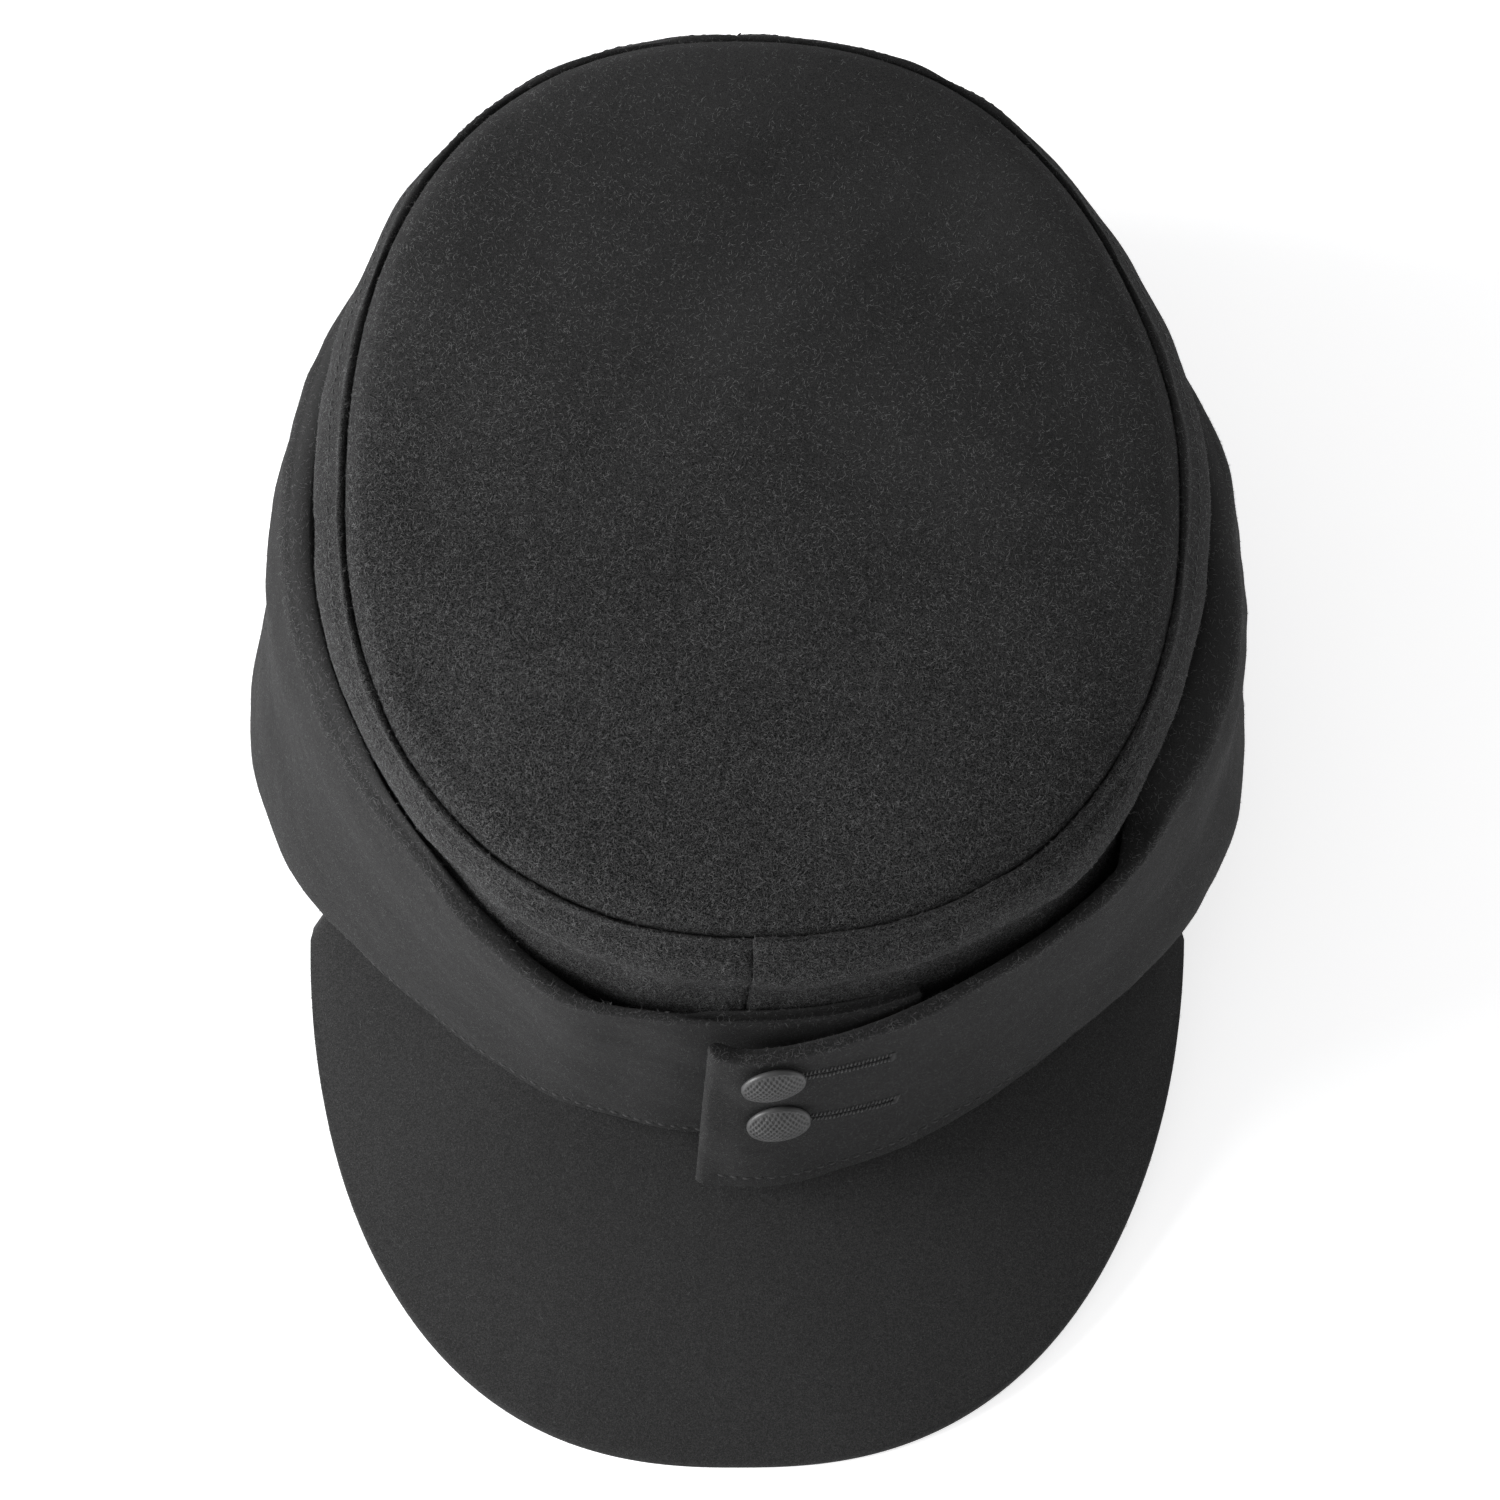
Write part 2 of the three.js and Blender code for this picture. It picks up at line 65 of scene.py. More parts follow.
def table(columns, rows):
    """Rows of numbers as a dict of column arrays."""
    values = np.array(list(rows.values()), dtype=float)
    return {name: values[:, i] for i, name in enumerate(columns)}


# Side panel sections from the rim up
WALL_COLUMNS = ("front_height", "back_height", "front_x", "back_x", "middle_y",
                "half_width", "front_reach", "back_reach", "front_full", "back_full")
WALL = table(WALL_COLUMNS, {
    "rim": (0, 0, -0.5, -2, 0, 84.5, 93.5, 98, 2.0, 1.9),
    "hem": (8, 8, -0.4, -2, 0, 84.6, 93.6, 98, 2.0, 1.9),
    "waist": (26, 28, 0, -2.5, 0, 84.6, 93.8, 97.5, 1.98, 1.88),
    "middle": (44, 48, 0.5, -3, 0, 84.6, 94, 96.8, 1.94, 1.85),
    "flare": (58, 62, 1.1, -4, 0, 84.6, 94, 95.5, 1.9, 1.82),
    "pinch": (65, 79, 1.8, -2.5, -0.5, 80.4, 92.4, 92.4, 2.0, 2.0),
    "shoulder": (70.7, 85.7, 2.3, -2.5, -1, 80.3, 93.4, 91.6, 2.08, 2.09),
    "roll": (74.6, 89.4, 2.3, -2.5, -1.5, 78.3, 91.2, 90.4, 2.16, 2.16),
    "stitch": (77.2, 92, 2.3, -2.5, -2.2, 76.1, 88.4, 88.9, 2.22, 2.21),
    "lip": (79.6, 94.6, 2.2, -2.5, -3, 74.2, 85.4, 87.4, 2.26, 2.24),
})

# The skin's half width where the flap hides it, so that the shoulder overhangs the flap's crest
SKIN_WALL = dict(
    WALL,
    half_width=np.array([84.5, 84.6, 84.2, 82.6, 80.9, 80.4, 80.3, 78.3, 76.1, 74.2]),
    front_full=np.array([2.0, 1.98, 1.98, 2.0, 2.05, 2.05, 2.08, 2.16, 2.22, 2.26]),
)
BACK_RIGHT_TUCK = 2.6
FULL_SHOULDER = 2.8
FULL_SHOULDER_ANGLE = 42.0
FULL_SHOULDER_SPREAD = 12.0

# The same panel's skin near the crown seam, where its edge rolls over into the seam's groove.
# Each row lies out and down from the lip by these distances.
LIP_ROLL = table(("outward", "down"), {
    "ridge": (1.25, 0.75),
    "crest": (0.75, 0.7),
    "turn": (0.4, 1.15),
    "groove": (0.16, 2.1),
    "tuck": (-1.5, 3.6),
})
STITCH_SECTION = 8
STITCH_BELOW = 2.5

# The side panel's grid: a coarse part that the flap hides, then close rows up to the lip
SIDE_STEP = 0.85
SIDE_EDGE = 1.1
SIDE_HIDDEN = 52.0
SIDE_HIDDEN_STEP = 3.0
SIDE_ROW_STEP = 0.42
SIDE_SHOWN_FROM = 50.0
SIDE_SHOWN_FULL = 60.0
SIDE_FIBRES_FROM = 56.0
SIDE_FIBRES = 11000

# The front and back seams: the panels' rounded edge, the degrees that each panel runs past the
# middle of a seam, the pull along the front seam, and the groove beside it on the left
SEAM_ROUND = 0.4
SEAM_OVERLAP = 0.04
SEAM_PULL = 0.32
SEAM_PULL_WIDTH = 1.1
SEAM_GROOVE = 0.26
SEAM_GROOVE_AT = 1.9
SEAM_GROOVE_WIDTH = 0.45

# The cloth thins towards the lip, which lies under the top panel
LIP_THIN = 0.16
LIP_THIN_UNTIL = 4.4
LIP_FULL_FROM = 7.6

# Top panel: inset from the crown seam at the side, and rise over it
TOP = table(("inset", "rise"), {
    "tuck": (0.15, -2.6),
    "groove": (0.1, -1.5),
    "turn": (0.25, -0.5),
    "crest": (0.7, 0.35),
    "edge": (1.3, 1.05),
    "roll": (3, 2.4),
    "brow": (6.5, 3.5),
    "slope": (13, 4.6),
    "field": (24, 5.7),
    "plain": (40, 6.7),
    "middle": (58, 7.3),
    "centre": (74.2, 7.5),
})
TOP_UNDER_INSETS = (72.0, 60, 44, 28, 15, 8, 4.5, 2.6, 1.2)
TOP_UNDER_EDGE = -2.5
TOP_COLUMNS = 420
TOP_EDGE = 9.0
TOP_EDGE_STEP = 0.35
TOP_STEP = 1.1
TOP_FIBRES = 36000
TOP_LIP_ROWS = 4
DENT_FADE_INSET = 6.5
DENTS = table(("x", "y", "depth", "radius"), {
    "front_left_dent": (-55, -48, 1.6, 15),
    "front_left_swell": (-44, -33, -0.8, 15),
    "back_right_dent": (32, 40, 0.8, 26),
})

# Turn-up flap sections: lower and upper edge, and how far the cloth stands off the side panel
FLAP_COLUMNS = ("angle", "bottom", "top", "bottom_gap", "belly_gap", "valley_gap", "top_gap")
FLAP_LEFT = table(FLAP_COLUMNS, {
    "back": (-180, 1.8, 56, 0.6, 3.4, 1.6, 1),
    "nape": (-145, 1.8, 60, 0.6, 3.6, 1.6, 1),
    "behind_side": (-106, 1.8, 65, 0.6, 1.4, 0.3, 0.9),
    "side": (-90, 1.8, 66, 0.6, 4.8, 1.5, 1.1),
    "behind_temple": (-82, 2.1, 66, 0.8, 6.9, 3.0, 1.6),
    "temple": (-75, 2.4, 66, 1.2, 8.2, 3.5, 1.7),
    "peak_corner": (-61, 6, 66, 4, 7.4, 3, 1.7),
    "quarter": (-45, 7, 65, 1.2, 2.8, 1.6, 1.2),
    "front_quarter": (-33, 7.6, 62, 0.6, 0.8, 1.6, 2.8),
    "front_gap": (-22, 8, 59.8, 0.6, 0.6, 2, 4),
    "beside_tab": (-11, 8.6, 59.6, 0.6, 0.6, 0.9, 1.8),
    "front": (0, 9, 60, 0.6, 0.6, 0.6, 0.6),
    "end": (19, 9, 59, 0.6, 0.6, 0.6, 0.6),
})
FLAP_RIGHT = table(FLAP_COLUMNS, {
    "tab_end": (-5, 5.6, 56.6, 9.6, 8.9, 7.6, 6),
    "tab_nose": (0, 5.6, 57, 9.8, 9.1, 7.9, 6.4),
    "tab": (8, 5.6, 57.6, 8.3, 7.7, 6.6, 5.5),
    "tab_root": (18, 5.6, 58.8, 6.2, 6, 5, 4.6),
    "front_quarter": (28, 5.4, 61, 4.9, 5.4, 5, 4.8),
    "pocket": (44, 5.2, 64.5, 4.6, 7.2, 6.2, 6.4),
    "peak_corner": (60, 5.2, 66, 5.4, 10.2, 6.6, 6.4),
    "temple": (74, 2.4, 66, 1.4, 8.4, 5.2, 4.6),
    "behind_temple": (81, 2.0, 65.6, 1.0, 6.4, 3.7, 3.0),
    "side": (88, 1.8, 65, 0.6, 3.0, 1.6, 1.3),
    "behind_side": (103, 1.8, 62, 0.6, 1.8, 1.2, 0.9),
    "nape": (140, 1.8, 58, 0.6, 1.8, 1.2, 1),
    "back": (180, 1.8, 56, 0.6, 3.4, 1.6, 1),
})
FLAP_SHARES = np.array([0, 0.07, 0.16, 0.28, 0.42, 0.58, 0.74, 0.88, 1])
GAP_SHARES = (0.0, 0.2, 0.6, 1.0)

# Room left between the flap's thick crest and the side panel, which is negative where the crest
# presses on it, and how far the crest's inner half rises as it rolls over towards the panel
OPENING_COLUMNS = ("angle", "room", "rise")
OPENING_LEFT = table(OPENING_COLUMNS, {
    "front": (0, 9, 0),
    "beside_tab": (12, 5, 0),
    "front_gap": (24, 1.3, 0.6),
    "front_quarter": (38, 0.7, 1.6),
    "gap_end": (52, 0.4, 4.2),
    "closed": (62, -0.6, 5.5),
    "back": (180, -0.6, 5.5),
})
OPENING_RIGHT = table(OPENING_COLUMNS, {
    "front": (0, 14, 0),
    "pocket": (36, 12, 0),
    "pocket_end": (45, 6, 0.5),
    "closing": (51, 1.2, 1.8),
    "closed": (57, -0.1, 4.4),
    "back": (180, -0.2, 5.0),
})

# How far under its edge each half's crest reaches its full thickness, and the crest's roll
LEFT_CREST_DROP = 1.3
RIGHT_CREST_DROP = 1.5
CREST_ROLL_TOP = 1.3
CREST_ROLL_START = 0.25
CREST_ROLL_DEPTH = 9.0

# The flap's grid and its rounded edge
FLAP_STEP = 0.8
FLAP_ROW_STEP = 0.95
FLAP_HEIGHT = 56.0
FLAP_EDGE = 1.5
FLAP_BULGE = 0.9
FLAP_FIBRES = 14000

# Ends of the flap's halves: the left one ends under the tab, whose own end leans a little
UNDER_TAB_END = 19.0
TAB_END = -5.0
TAB_END_LEAN = 0.6
TAB_CORNER_RISE = 2.2
TAB_CORNER_WIDTH = 3.2
UNDER_TAB_NOTCH = 2.4
LEFT_STITCH_HEIGHT = 2.0
RIGHT_STITCH_HEIGHT = 4.6

# Peak
PEAK_ROOT_ANGLE = 63.0
PEAK_ROOT_HEIGHT = 4.2
PEAK_HALF_WIDTH = 82.0
PEAK_SHOULDER_Y = -50.5
PEAK_REACH = 99.5
PEAK_SIDE_FULL = 2.45
PEAK_FRONT_FULL = 2.1
PEAK_SLOPE = 0.46
PEAK_MIDDLE_X = -0.5
PEAK_TIP_X = -2.0
PEAK_BULGE = 0.8
PEAK_TUCK = 0.4
PEAK_CROWN = 0.45
PEAK_COLUMNS = 151
PEAK_GRID_REACH = 60.0
PEAK_ROW_STEP = 0.8
PEAK_EDGE = 1.8
PEAK_FIBRES = 9000

# Buttons: direction and height on the tab's face, how far each one is turned and nodded, and the
# slope of its buttonhole
BUTTONS = {"button_upper": (1.8, 50.2, 5, -4, 0.16), "button_lower": (2.7, 34.3, 3, 5, 0.3)}
BUTTON_RADIUS = 5.8
BUTTON_DOME = 1.6
BUTTON_RIM = 0.8
BUTTON_LIFT = 0.5
BUTTON_STEPS = 240
BUTTON_RINGS = 64
PIT_PITCH_ACROSS = 1.0
PIT_PITCH_UP = 1.7
PIT_DEPTH = 0.3
BUTTONHOLE_START = 4.6
BUTTONHOLE_LENGTH = 19.5
BUTTONHOLE_PITCH = 0.66
BUTTONHOLE_HALF_WIDTH = 0.95

# The solids' gap at the side panels' seams
SOLID_SEAM_GAP = 0.3
SOLID_SEAM_RADIUS = 84.0

# Resting pose
REST_SINK = 0.5
PEAK_LEAN = math.atan(PEAK_SLOPE)
PEAK_STAND_OFF = HUG_GAP + PEAK_BULGE + PEAK_BOARD * math.sin(PEAK_LEAN)
TIP_REACH = PEAK_REACH - PEAK_SHOULDER_Y
TIP_LENGTH = TIP_REACH - WALL["front_reach"][0] - PEAK_STAND_OFF
UNDER_TIP_REACH = TIP_REACH - PEAK_BOARD * math.sin(PEAK_LEAN)
UNDER_TIP_DROP = PEAK_SLOPE * TIP_LENGTH - PEAK_ROOT_HEIGHT + PEAK_BOARD * math.cos(PEAK_LEAN)
REST_TILT = math.atan(UNDER_TIP_DROP / (WALL["back_reach"][0] + UNDER_TIP_REACH))
REST_LIFT = WALL["back_reach"][0] * math.sin(REST_TILT) - REST_SINK

# Camera, from the photograph's view of the cap
CAMERA_ELEVATION = 64.0
CAMERA_DISTANCE = 1000.0
CAMERA_TARGET = (0.0, -36.5, 45.0)
CAMERA_LENS = 132.0


def curve_through(knots, values, at, flat_ends=False):
    """A smooth curve through values at knots. Past its ends it stays flat or runs on straight."""
    knots = np.asarray(knots, dtype=float)
    values = np.asarray(values, dtype=float)
    at = np.asarray(at, dtype=float)
    tail = (1,) * (values.ndim - 1)
    slopes = np.zeros_like(values)
    slopes[1:-1] = (values[2:] - values[:-2]) / (knots[2:] - knots[:-2]).reshape((-1,) + tail)
    if not flat_ends:
        slopes[0] = (values[1] - values[0]) / (knots[1] - knots[0])
        slopes[-1] = (values[-1] - values[-2]) / (knots[-1] - knots[-2])
    inside = np.clip(at, knots[0], knots[-1])
    k = np.clip(np.searchsorted(knots, inside, side="right") - 1, 0, len(knots) - 2)
    shape = at.shape + tail
    span = (knots[k + 1] - knots[k]).reshape(shape)
    s = (inside - knots[k]).reshape(shape) / span
    past = (at - inside).reshape(shape)
    start = values[k] * (1 + 2 * s) * (1 - s) ** 2 + slopes[k] * span * s * (1 - s) ** 2
    end = values[k + 1] * s * s * (3 - 2 * s) + slopes[k + 1] * span * s * s * (s - 1)
    run_on = np.where(past < 0, slopes[0], slopes[-1]) * past
    return start + end + run_on


def smooth_step(low, high, at):
    s = np.clip((at - low) / (high - low), 0, 1)
    return s * s * (3 - 2 * s)


def section_middle(section, y):
    front = section["middle_y"] - section["front_reach"]
    back = section["middle_y"] + section["back_reach"]
    share = (y - front) / (back - front)
    bend = np.maximum(0, (y - section["middle_y"]) / section["back_reach"]) ** 2
    x = section["front_x"] + (section["back_x"] - section["front_x"]) * bend
    z = section["front_height"] + (section["back_height"] - section["front_height"]) * share
    return x, z


def oval_point(section, degrees, scale=1.0):
    """Points of oval sections, whose columns are arrays that match the directions."""
    angle = np.radians(degrees)
    sine = np.sin(angle)
    cosine = np.cos(angle)
    power = np.where(cosine > 0, section["front_full"], section["back_full"])
    radius = (np.abs(sine) ** power + np.abs(cosine) ** power) ** (-1 / power)
    reach = np.where(cosine > 0, section["front_reach"], section["back_reach"])
    y = section["middle_y"] - reach * cosine * radius * scale
    x, z = section_middle(section, y)
    return np.stack(np.broadcast_arrays(x + section["half_width"] * sine * radius * scale, y, z), -1)


def wall_at(degrees, height, wall=WALL):
    """Places on the side panel's outer face, in matching directions and at matching heights."""
    sections = {name: column[:, None] for name, column in wall.items()}
    points = oval_point(sections, np.asarray(degrees)[None, :])
    z = points[..., 2]
    k = (z[1:-1] < height).sum(axis=0)
    columns = np.arange(z.shape[1])
    low = points[k, columns]
    high = points[k + 1, columns]
    share = (height - low[:, 2]) / (high[:, 2] - low[:, 2])
    return low + (high - low) * share[:, None]


def outward_at(degrees, height):
    along = wall_at(degrees + 0.5, height) - wall_at(degrees - 0.5, height)
    out = np.stack([along[:, 1], -along[:, 0], np.zeros(len(along))], -1)
    return out / np.linalg.norm(out, axis=-1, keepdims=True)


def rest_pose(points):
    y = points[..., 1] * math.cos(REST_TILT) + points[..., 2] * math.sin(REST_TILT)
    z = points[..., 2] * math.cos(REST_TILT) - points[..., 1] * math.sin(REST_TILT) + REST_LIFT
    return np.stack([points[..., 0], y, np.maximum(z, 0)], -1)


def frame_shift():
    """How far the resting cap is moved so that the frame's origin lies under its middle."""
    steps = 27
    half_seam = math.degrees(SOLID_SEAM_GAP / 2 / SOLID_SEAM_RADIUS)
    angles = np.linspace(-BACK_SEAM + half_seam, FRONT_SEAM - half_seam, steps + 1)
    sections = {name: column[:, None] for name, column in WALL.items()}
    points = rest_pose(oval_point(sections, angles[None, :]))
    low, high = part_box("side_left")
    return np.array([low[0] / MM - points[..., 0].min(), high[1] / MM - points[..., 1].max(), 0])


SHIFT = frame_shift()


def tucked(points):
    """The cap's back right quarter drawn in a little, because its oval isn't even."""
    points = np.array(points, dtype=float)
    along = smooth_step(0, 42, points[..., 1]) * (1 - smooth_step(58, 92, points[..., 1]))
    points[..., 0] -= BACK_RIGHT_TUCK * along * smooth_step(10, 70, points[..., 0])
    return points


def to_frame(points):
    """From the cap's own frame to the row frame, in metres."""
    return (rest_pose(tucked(points)) + SHIFT) * MM


def unit(vectors):
    return vectors / np.maximum(np.linalg.norm(vectors, axis=-1, keepdims=True), 1e-12)


def grid_normals(grid):
    """Unit normals of a grid whose columns run to the right and rows run up, seen from outside."""
    return unit(np.cross(np.gradient(grid, axis=1), np.gradient(grid, axis=0)))


def softness(points, wavelengths, amplitude, seed):
    """A smooth random field of waves in all directions."""
    rng = np.random.default_rng(seed)
    total = np.zeros(points.shape[:-1])
    for wavelength in wavelengths:
        for _ in range(4):
            direction = unit(rng.normal(size=3))
            phase = rng.uniform(0, 2 * math.pi)
            total += np.sin(points @ direction * (2 * math.pi / wavelength) + phase)
    return amplitude * total / (2 * math.sqrt(len(wavelengths)))


def edge_spaced(length, step, first, last, turns=7):
    """Distances from 0 to length, close together within the rounded edge at each end."""
    angles = np.linspace(0, math.pi / 2, turns + 1)[:-1]
    start = first * (1 - np.cos(angles))
    end = length - last * (1 - np.cos(angles[::-1]))
    count = max(2, int(round((length - first - last) / step)))
    return np.concatenate([start, np.linspace(first, length - last, count + 1), end])


def edge_round(distance, radius):
    """Share of the full thickness at a distance from a rounded edge."""
    inside = np.clip(distance / radius, 0, 1)
    return np.sqrt(np.clip(1 - (1 - inside) ** 2, 0, 1))


def add_piece(name, points, faces, material, slot, node=None):
    """A mesh from points in the cap's own frame, riding on the cap."""
    mesh = bpy.data.meshes.new(name)
    mesh.from_pydata(to_frame(points).tolist(), [], faces)
    mesh.update()
    mesh.polygons.foreach_set("use_smooth", [True] * len(mesh.polygons))
    mesh.materials.append(material)
    piece = bpy.data.objects.new(name, mesh)
    bpy.context.scene.collection.objects.link(piece)
    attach(piece, "root")
    if node:
        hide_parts(node)


def sheet_mesh(outer, inner):
    """Points and faces of a sheet whose outer and inner grids meet all round their border."""
    rows, columns = outer.shape[:2]
    numbers = np.arange(rows * columns).reshape(rows, columns)
    inner_numbers = numbers.copy()
    inside = (rows - 2) * (columns - 2)
    inner_numbers[1:-1, 1:-1] = rows * columns + np.arange(inside).reshape(rows - 2, columns - 2)
    points = np.concatenate([outer.reshape(-1, 3), inner[1:-1, 1:-1].reshape(-1, 3)])

    def quads(n, inward):
        corners = [n[:-1, :-1], n[:-1, 1:], n[1:, 1:], n[1:, :-1]]
        if inward:
            corners.reverse()
        return np.stack([corner.ravel() for corner in corners], -1)

    faces = np.concatenate([quads(numbers, False), quads(inner_numbers, True)])
    return points, faces.tolist()


def side_skin(angles):
    """The side panel's outer skin over a range of directions, with each row's length from the rim."""
    base = np.stack([SKIN_WALL[name] for name in WALL_COLUMNS], -1)
    lip = base[-1]
    rows = list(base[:-1])
    for outward, down in zip(LIP_ROLL["outward"], LIP_ROLL["down"]):
        row = lip.copy()
        row[0:2] -= down
        row[5:8] += outward
        rows.append(row)
    rows = np.array(rows)
    steps = np.hypot(np.diff(rows[:, 0]), np.diff(rows[:, 5]))
    lengths = np.concatenate([[0], np.cumsum(steps)])
    stitch_length = lengths[STITCH_SECTION] - STITCH_BELOW
    turns = 4
    hidden = edge_spaced(SIDE_HIDDEN, SIDE_HIDDEN_STEP, SIDE_EDGE, SIDE_HIDDEN_STEP, turns)
    visible = np.arange(SIDE_HIDDEN + 0.6, lengths[-1] - 0.01, SIDE_ROW_STEP)
    at = np.concatenate([hidden[:-turns], visible, [lengths[-1]]])
    values = curve_through(lengths, rows, at)
    section = {name: values[:, i][:, None] for i, name in enumerate(WALL_COLUMNS)}
    return oval_point(section, angles[None, :]), at, stitch_length


def line_lengths(points):
    steps = np.linalg.norm(np.diff(points, axis=0), axis=-1)
    return np.concatenate([[0], np.cumsum(steps)])


def row_line(grid, normals, distances, at):
    """The line on a grid at one distance up its rows, with its normals."""
    k = int(np.clip(np.searchsorted(distances, at) - 1, 0, len(distances) - 2))
    share = (at - distances[k]) / (distances[k + 1] - distances[k])
    line = grid[k] * (1 - share) + grid[k + 1] * share
    return line, unit(normals[k] * (1 - share) + normals[k + 1] * share)


def pucker(line, distance, depth, width):
    """Depth of a stitched line's groove, which is pulled in deeper at each stitch."""
    phase = line_lengths(line) * (2 * math.pi / STITCH_PITCH)
    across = np.exp(-(distance / width) ** 2)
    return -depth * across * (0.7 + 0.3 * np.cos(phase))[None, :]


def stitched(line, normals, sink=0.05, first=STITCH_MARGIN):
    """Stitches along a line, each a small thread that arches out of the cloth."""
    lengths = line_lengths(line)
    places = np.arange(first + STITCH_PITCH / 2, lengths[-1] - STITCH_MARGIN, STITCH_PITCH)

    def along(values, at):
        return np.stack([np.interp(at, lengths, values[:, i]) for i in range(3)], -1)

    centres = along(line, places)
    ups = unit(along(normals, places))
    axes = unit(along(line, places + 0.3) - centres)
    raised = centres + ups * (STITCH_RADIUS * 0.4 - sink)
    return threads(raised, axes, ups, STITCH_LENGTH, STITCH_RADIUS)


def threads(centres, axes, ups, length, radius, sides=6, rings=5):
    """Short threads as pointed rods, one for each centre, arched along their length."""
    asides = np.cross(ups, axes)
    turn = np.linspace(0, math.pi, rings + 2)
    points = []
    for step in turn:
        thick = radius * math.sin(step)
        spine = centres - axes * (length / 2 * math.cos(step)) + ups * (0.5 * radius * (math.sin(step) - 1))
        if step in (turn[0], turn[-1]):
            points.append(spine[:, None, :])
            continue
        around = np.linspace(0, 2 * math.pi, sides, endpoint=False)
        ring = spine[:, None, :] + thick * (np.cos(around)[None, :, None] * asides[:, None, :]
                                            + np.sin(around)[None, :, None] * ups[:, None, :])
        points.append(ring)
    cloud = np.concatenate(points, axis=1)
    count = cloud.shape[1]
    pattern = []
    for j in range(sides):
        after = (j + 1) % sides
        pattern.append((0, 1 + after, 1 + j))
        for i in range(rings - 1):
            a = 1 + i * sides
            pattern.append((a + j, a + after, a + sides + after, a + sides + j))
        a = 1 + (rings - 1) * sides
        pattern.append((count - 1, a + j, a + after))
    faces = []
    for n in range(len(centres)):
        faces.extend(tuple(n * count + v for v in face) for face in pattern)
    return cloud.reshape(-1, 3), faces


def join(parts):
    """Several (points, faces) as one."""
    points = []
    faces = []
    total = 0
    for part_points, part_faces in parts:
        points.append(part_points)
        faces.extend(tuple(v + total for v in face) for face in part_faces)
        total += len(part_points)
    return np.concatenate(points), faces


def fibres(grid, count, seed, longest=1.3, lift=0.32):
    """Short loose fibres that stand on a grid's outer face, as (points, faces).

    The nap is raised most towards the front and left, where the cap is worn.
    """
    rng = np.random.default_rng(seed)
    a, b, c, d = grid[:-1, :-1], grid[:-1, 1:], grid[1:, 1:], grid[1:, :-1]
    cross = np.cross(c - a, d - b)
    raised = 0.25 + smooth_step(90, -60, a[..., 1]) + 0.5 * smooth_step(20, -70, a[..., 0])
    area = (np.linalg.norm(cross, axis=-1) * raised).ravel()
    picks = rng.choice(len(area), size=count, p=area / area.sum())
    u, v = rng.uniform(size=(2, count, 1))
    corners = [corner.reshape(-1, 3)[picks] for corner in (a, b, c, d)]
    roots = (corners[0] * (1 - u) * (1 - v) + corners[1] * u * (1 - v)
             + corners[2] * u * v + corners[3] * (1 - u) * v)
    normals = unit(cross.reshape(-1, 3)[picks])
    ahead = unit(np.cross(normals, rng.normal(size=(count, 3))))
    aside = np.cross(normals, ahead)
    length = rng.uniform(0.4, 1.0, size=(count, 1)) * longest
    rise = rng.uniform(0.2, 1.0, size=(count, 1)) ** 2 * lift
    sway = rng.normal(size=(count, 1)) * 0.35
    root = roots - normals * 0.06
    middle = root + ahead * length * 0.55 + normals * (rise * 0.75 + 0.06) + aside * sway * length * 0.25
    tip = root + ahead * length + normals * (rise + 0.03) + aside * sway * length
    wide = aside * FIBRE_HALF_WIDTH
    narrow = wide * 0.8
    points = np.stack([root - wide, root + wide, middle + narrow, middle - narrow, tip], axis=1)
    n = np.arange(count)[:, None] * points.shape[1]
    quads = (n + np.array([0, 1, 2, 3])).tolist()
    tips = (n + np.array([3, 2, 4])).tolist()
    return points.reshape(-1, 3), quads + tips


# Materials
def node(tree, kind, **values):
    made = tree.nodes.new(kind)
    for name, value in values.items():
        setattr(made, name, value)
    return made


def noise(tree, vector, scale, detail=3.0, roughness=0.6, distortion=0.0):
    made = node(tree, "ShaderNodeTexNoise")
    made.inputs["Scale"].default_value = scale
    made.inputs["Detail"].default_value = detail
    made.inputs["Roughness"].default_value = roughness
    made.inputs["Distortion"].default_value = distortion
    tree.links.new(vector, made.inputs["Vector"])
    return made.outputs["Fac"]


def math_node(tree, operation, first, second):
    made = node(tree, "ShaderNodeMath", operation=operation)
    for socket, value in zip(made.inputs, (first, second)):
        if isinstance(value, (int, float)):
            socket.default_value = value
        else:
            tree.links.new(value, socket)
    return made.outputs[0]


def ramp(tree, value, stops):
    """A colour ramp of greys: (position, grey) pairs."""
    made = node(tree, "ShaderNodeValToRGB")
    elements = made.color_ramp.elements
    while len(elements) < len(stops):
        elements.new(0.5)
    for element, (position, grey) in zip(elements, stops):
        element.position = position
        element.color = (grey, grey, grey * 1.01, 1)
    tree.links.new(value, made.inputs["Fac"])
    return made.outputs["Color"]


def new_material(name):
    material = bpy.data.materials.new(name)
    material.use_nodes = True
    tree = material.node_tree
    shader = tree.nodes["Principled BSDF"]
    coordinates = node(tree, "ShaderNodeTexCoord").outputs["Object"]
    return material, tree, shader, coordinates


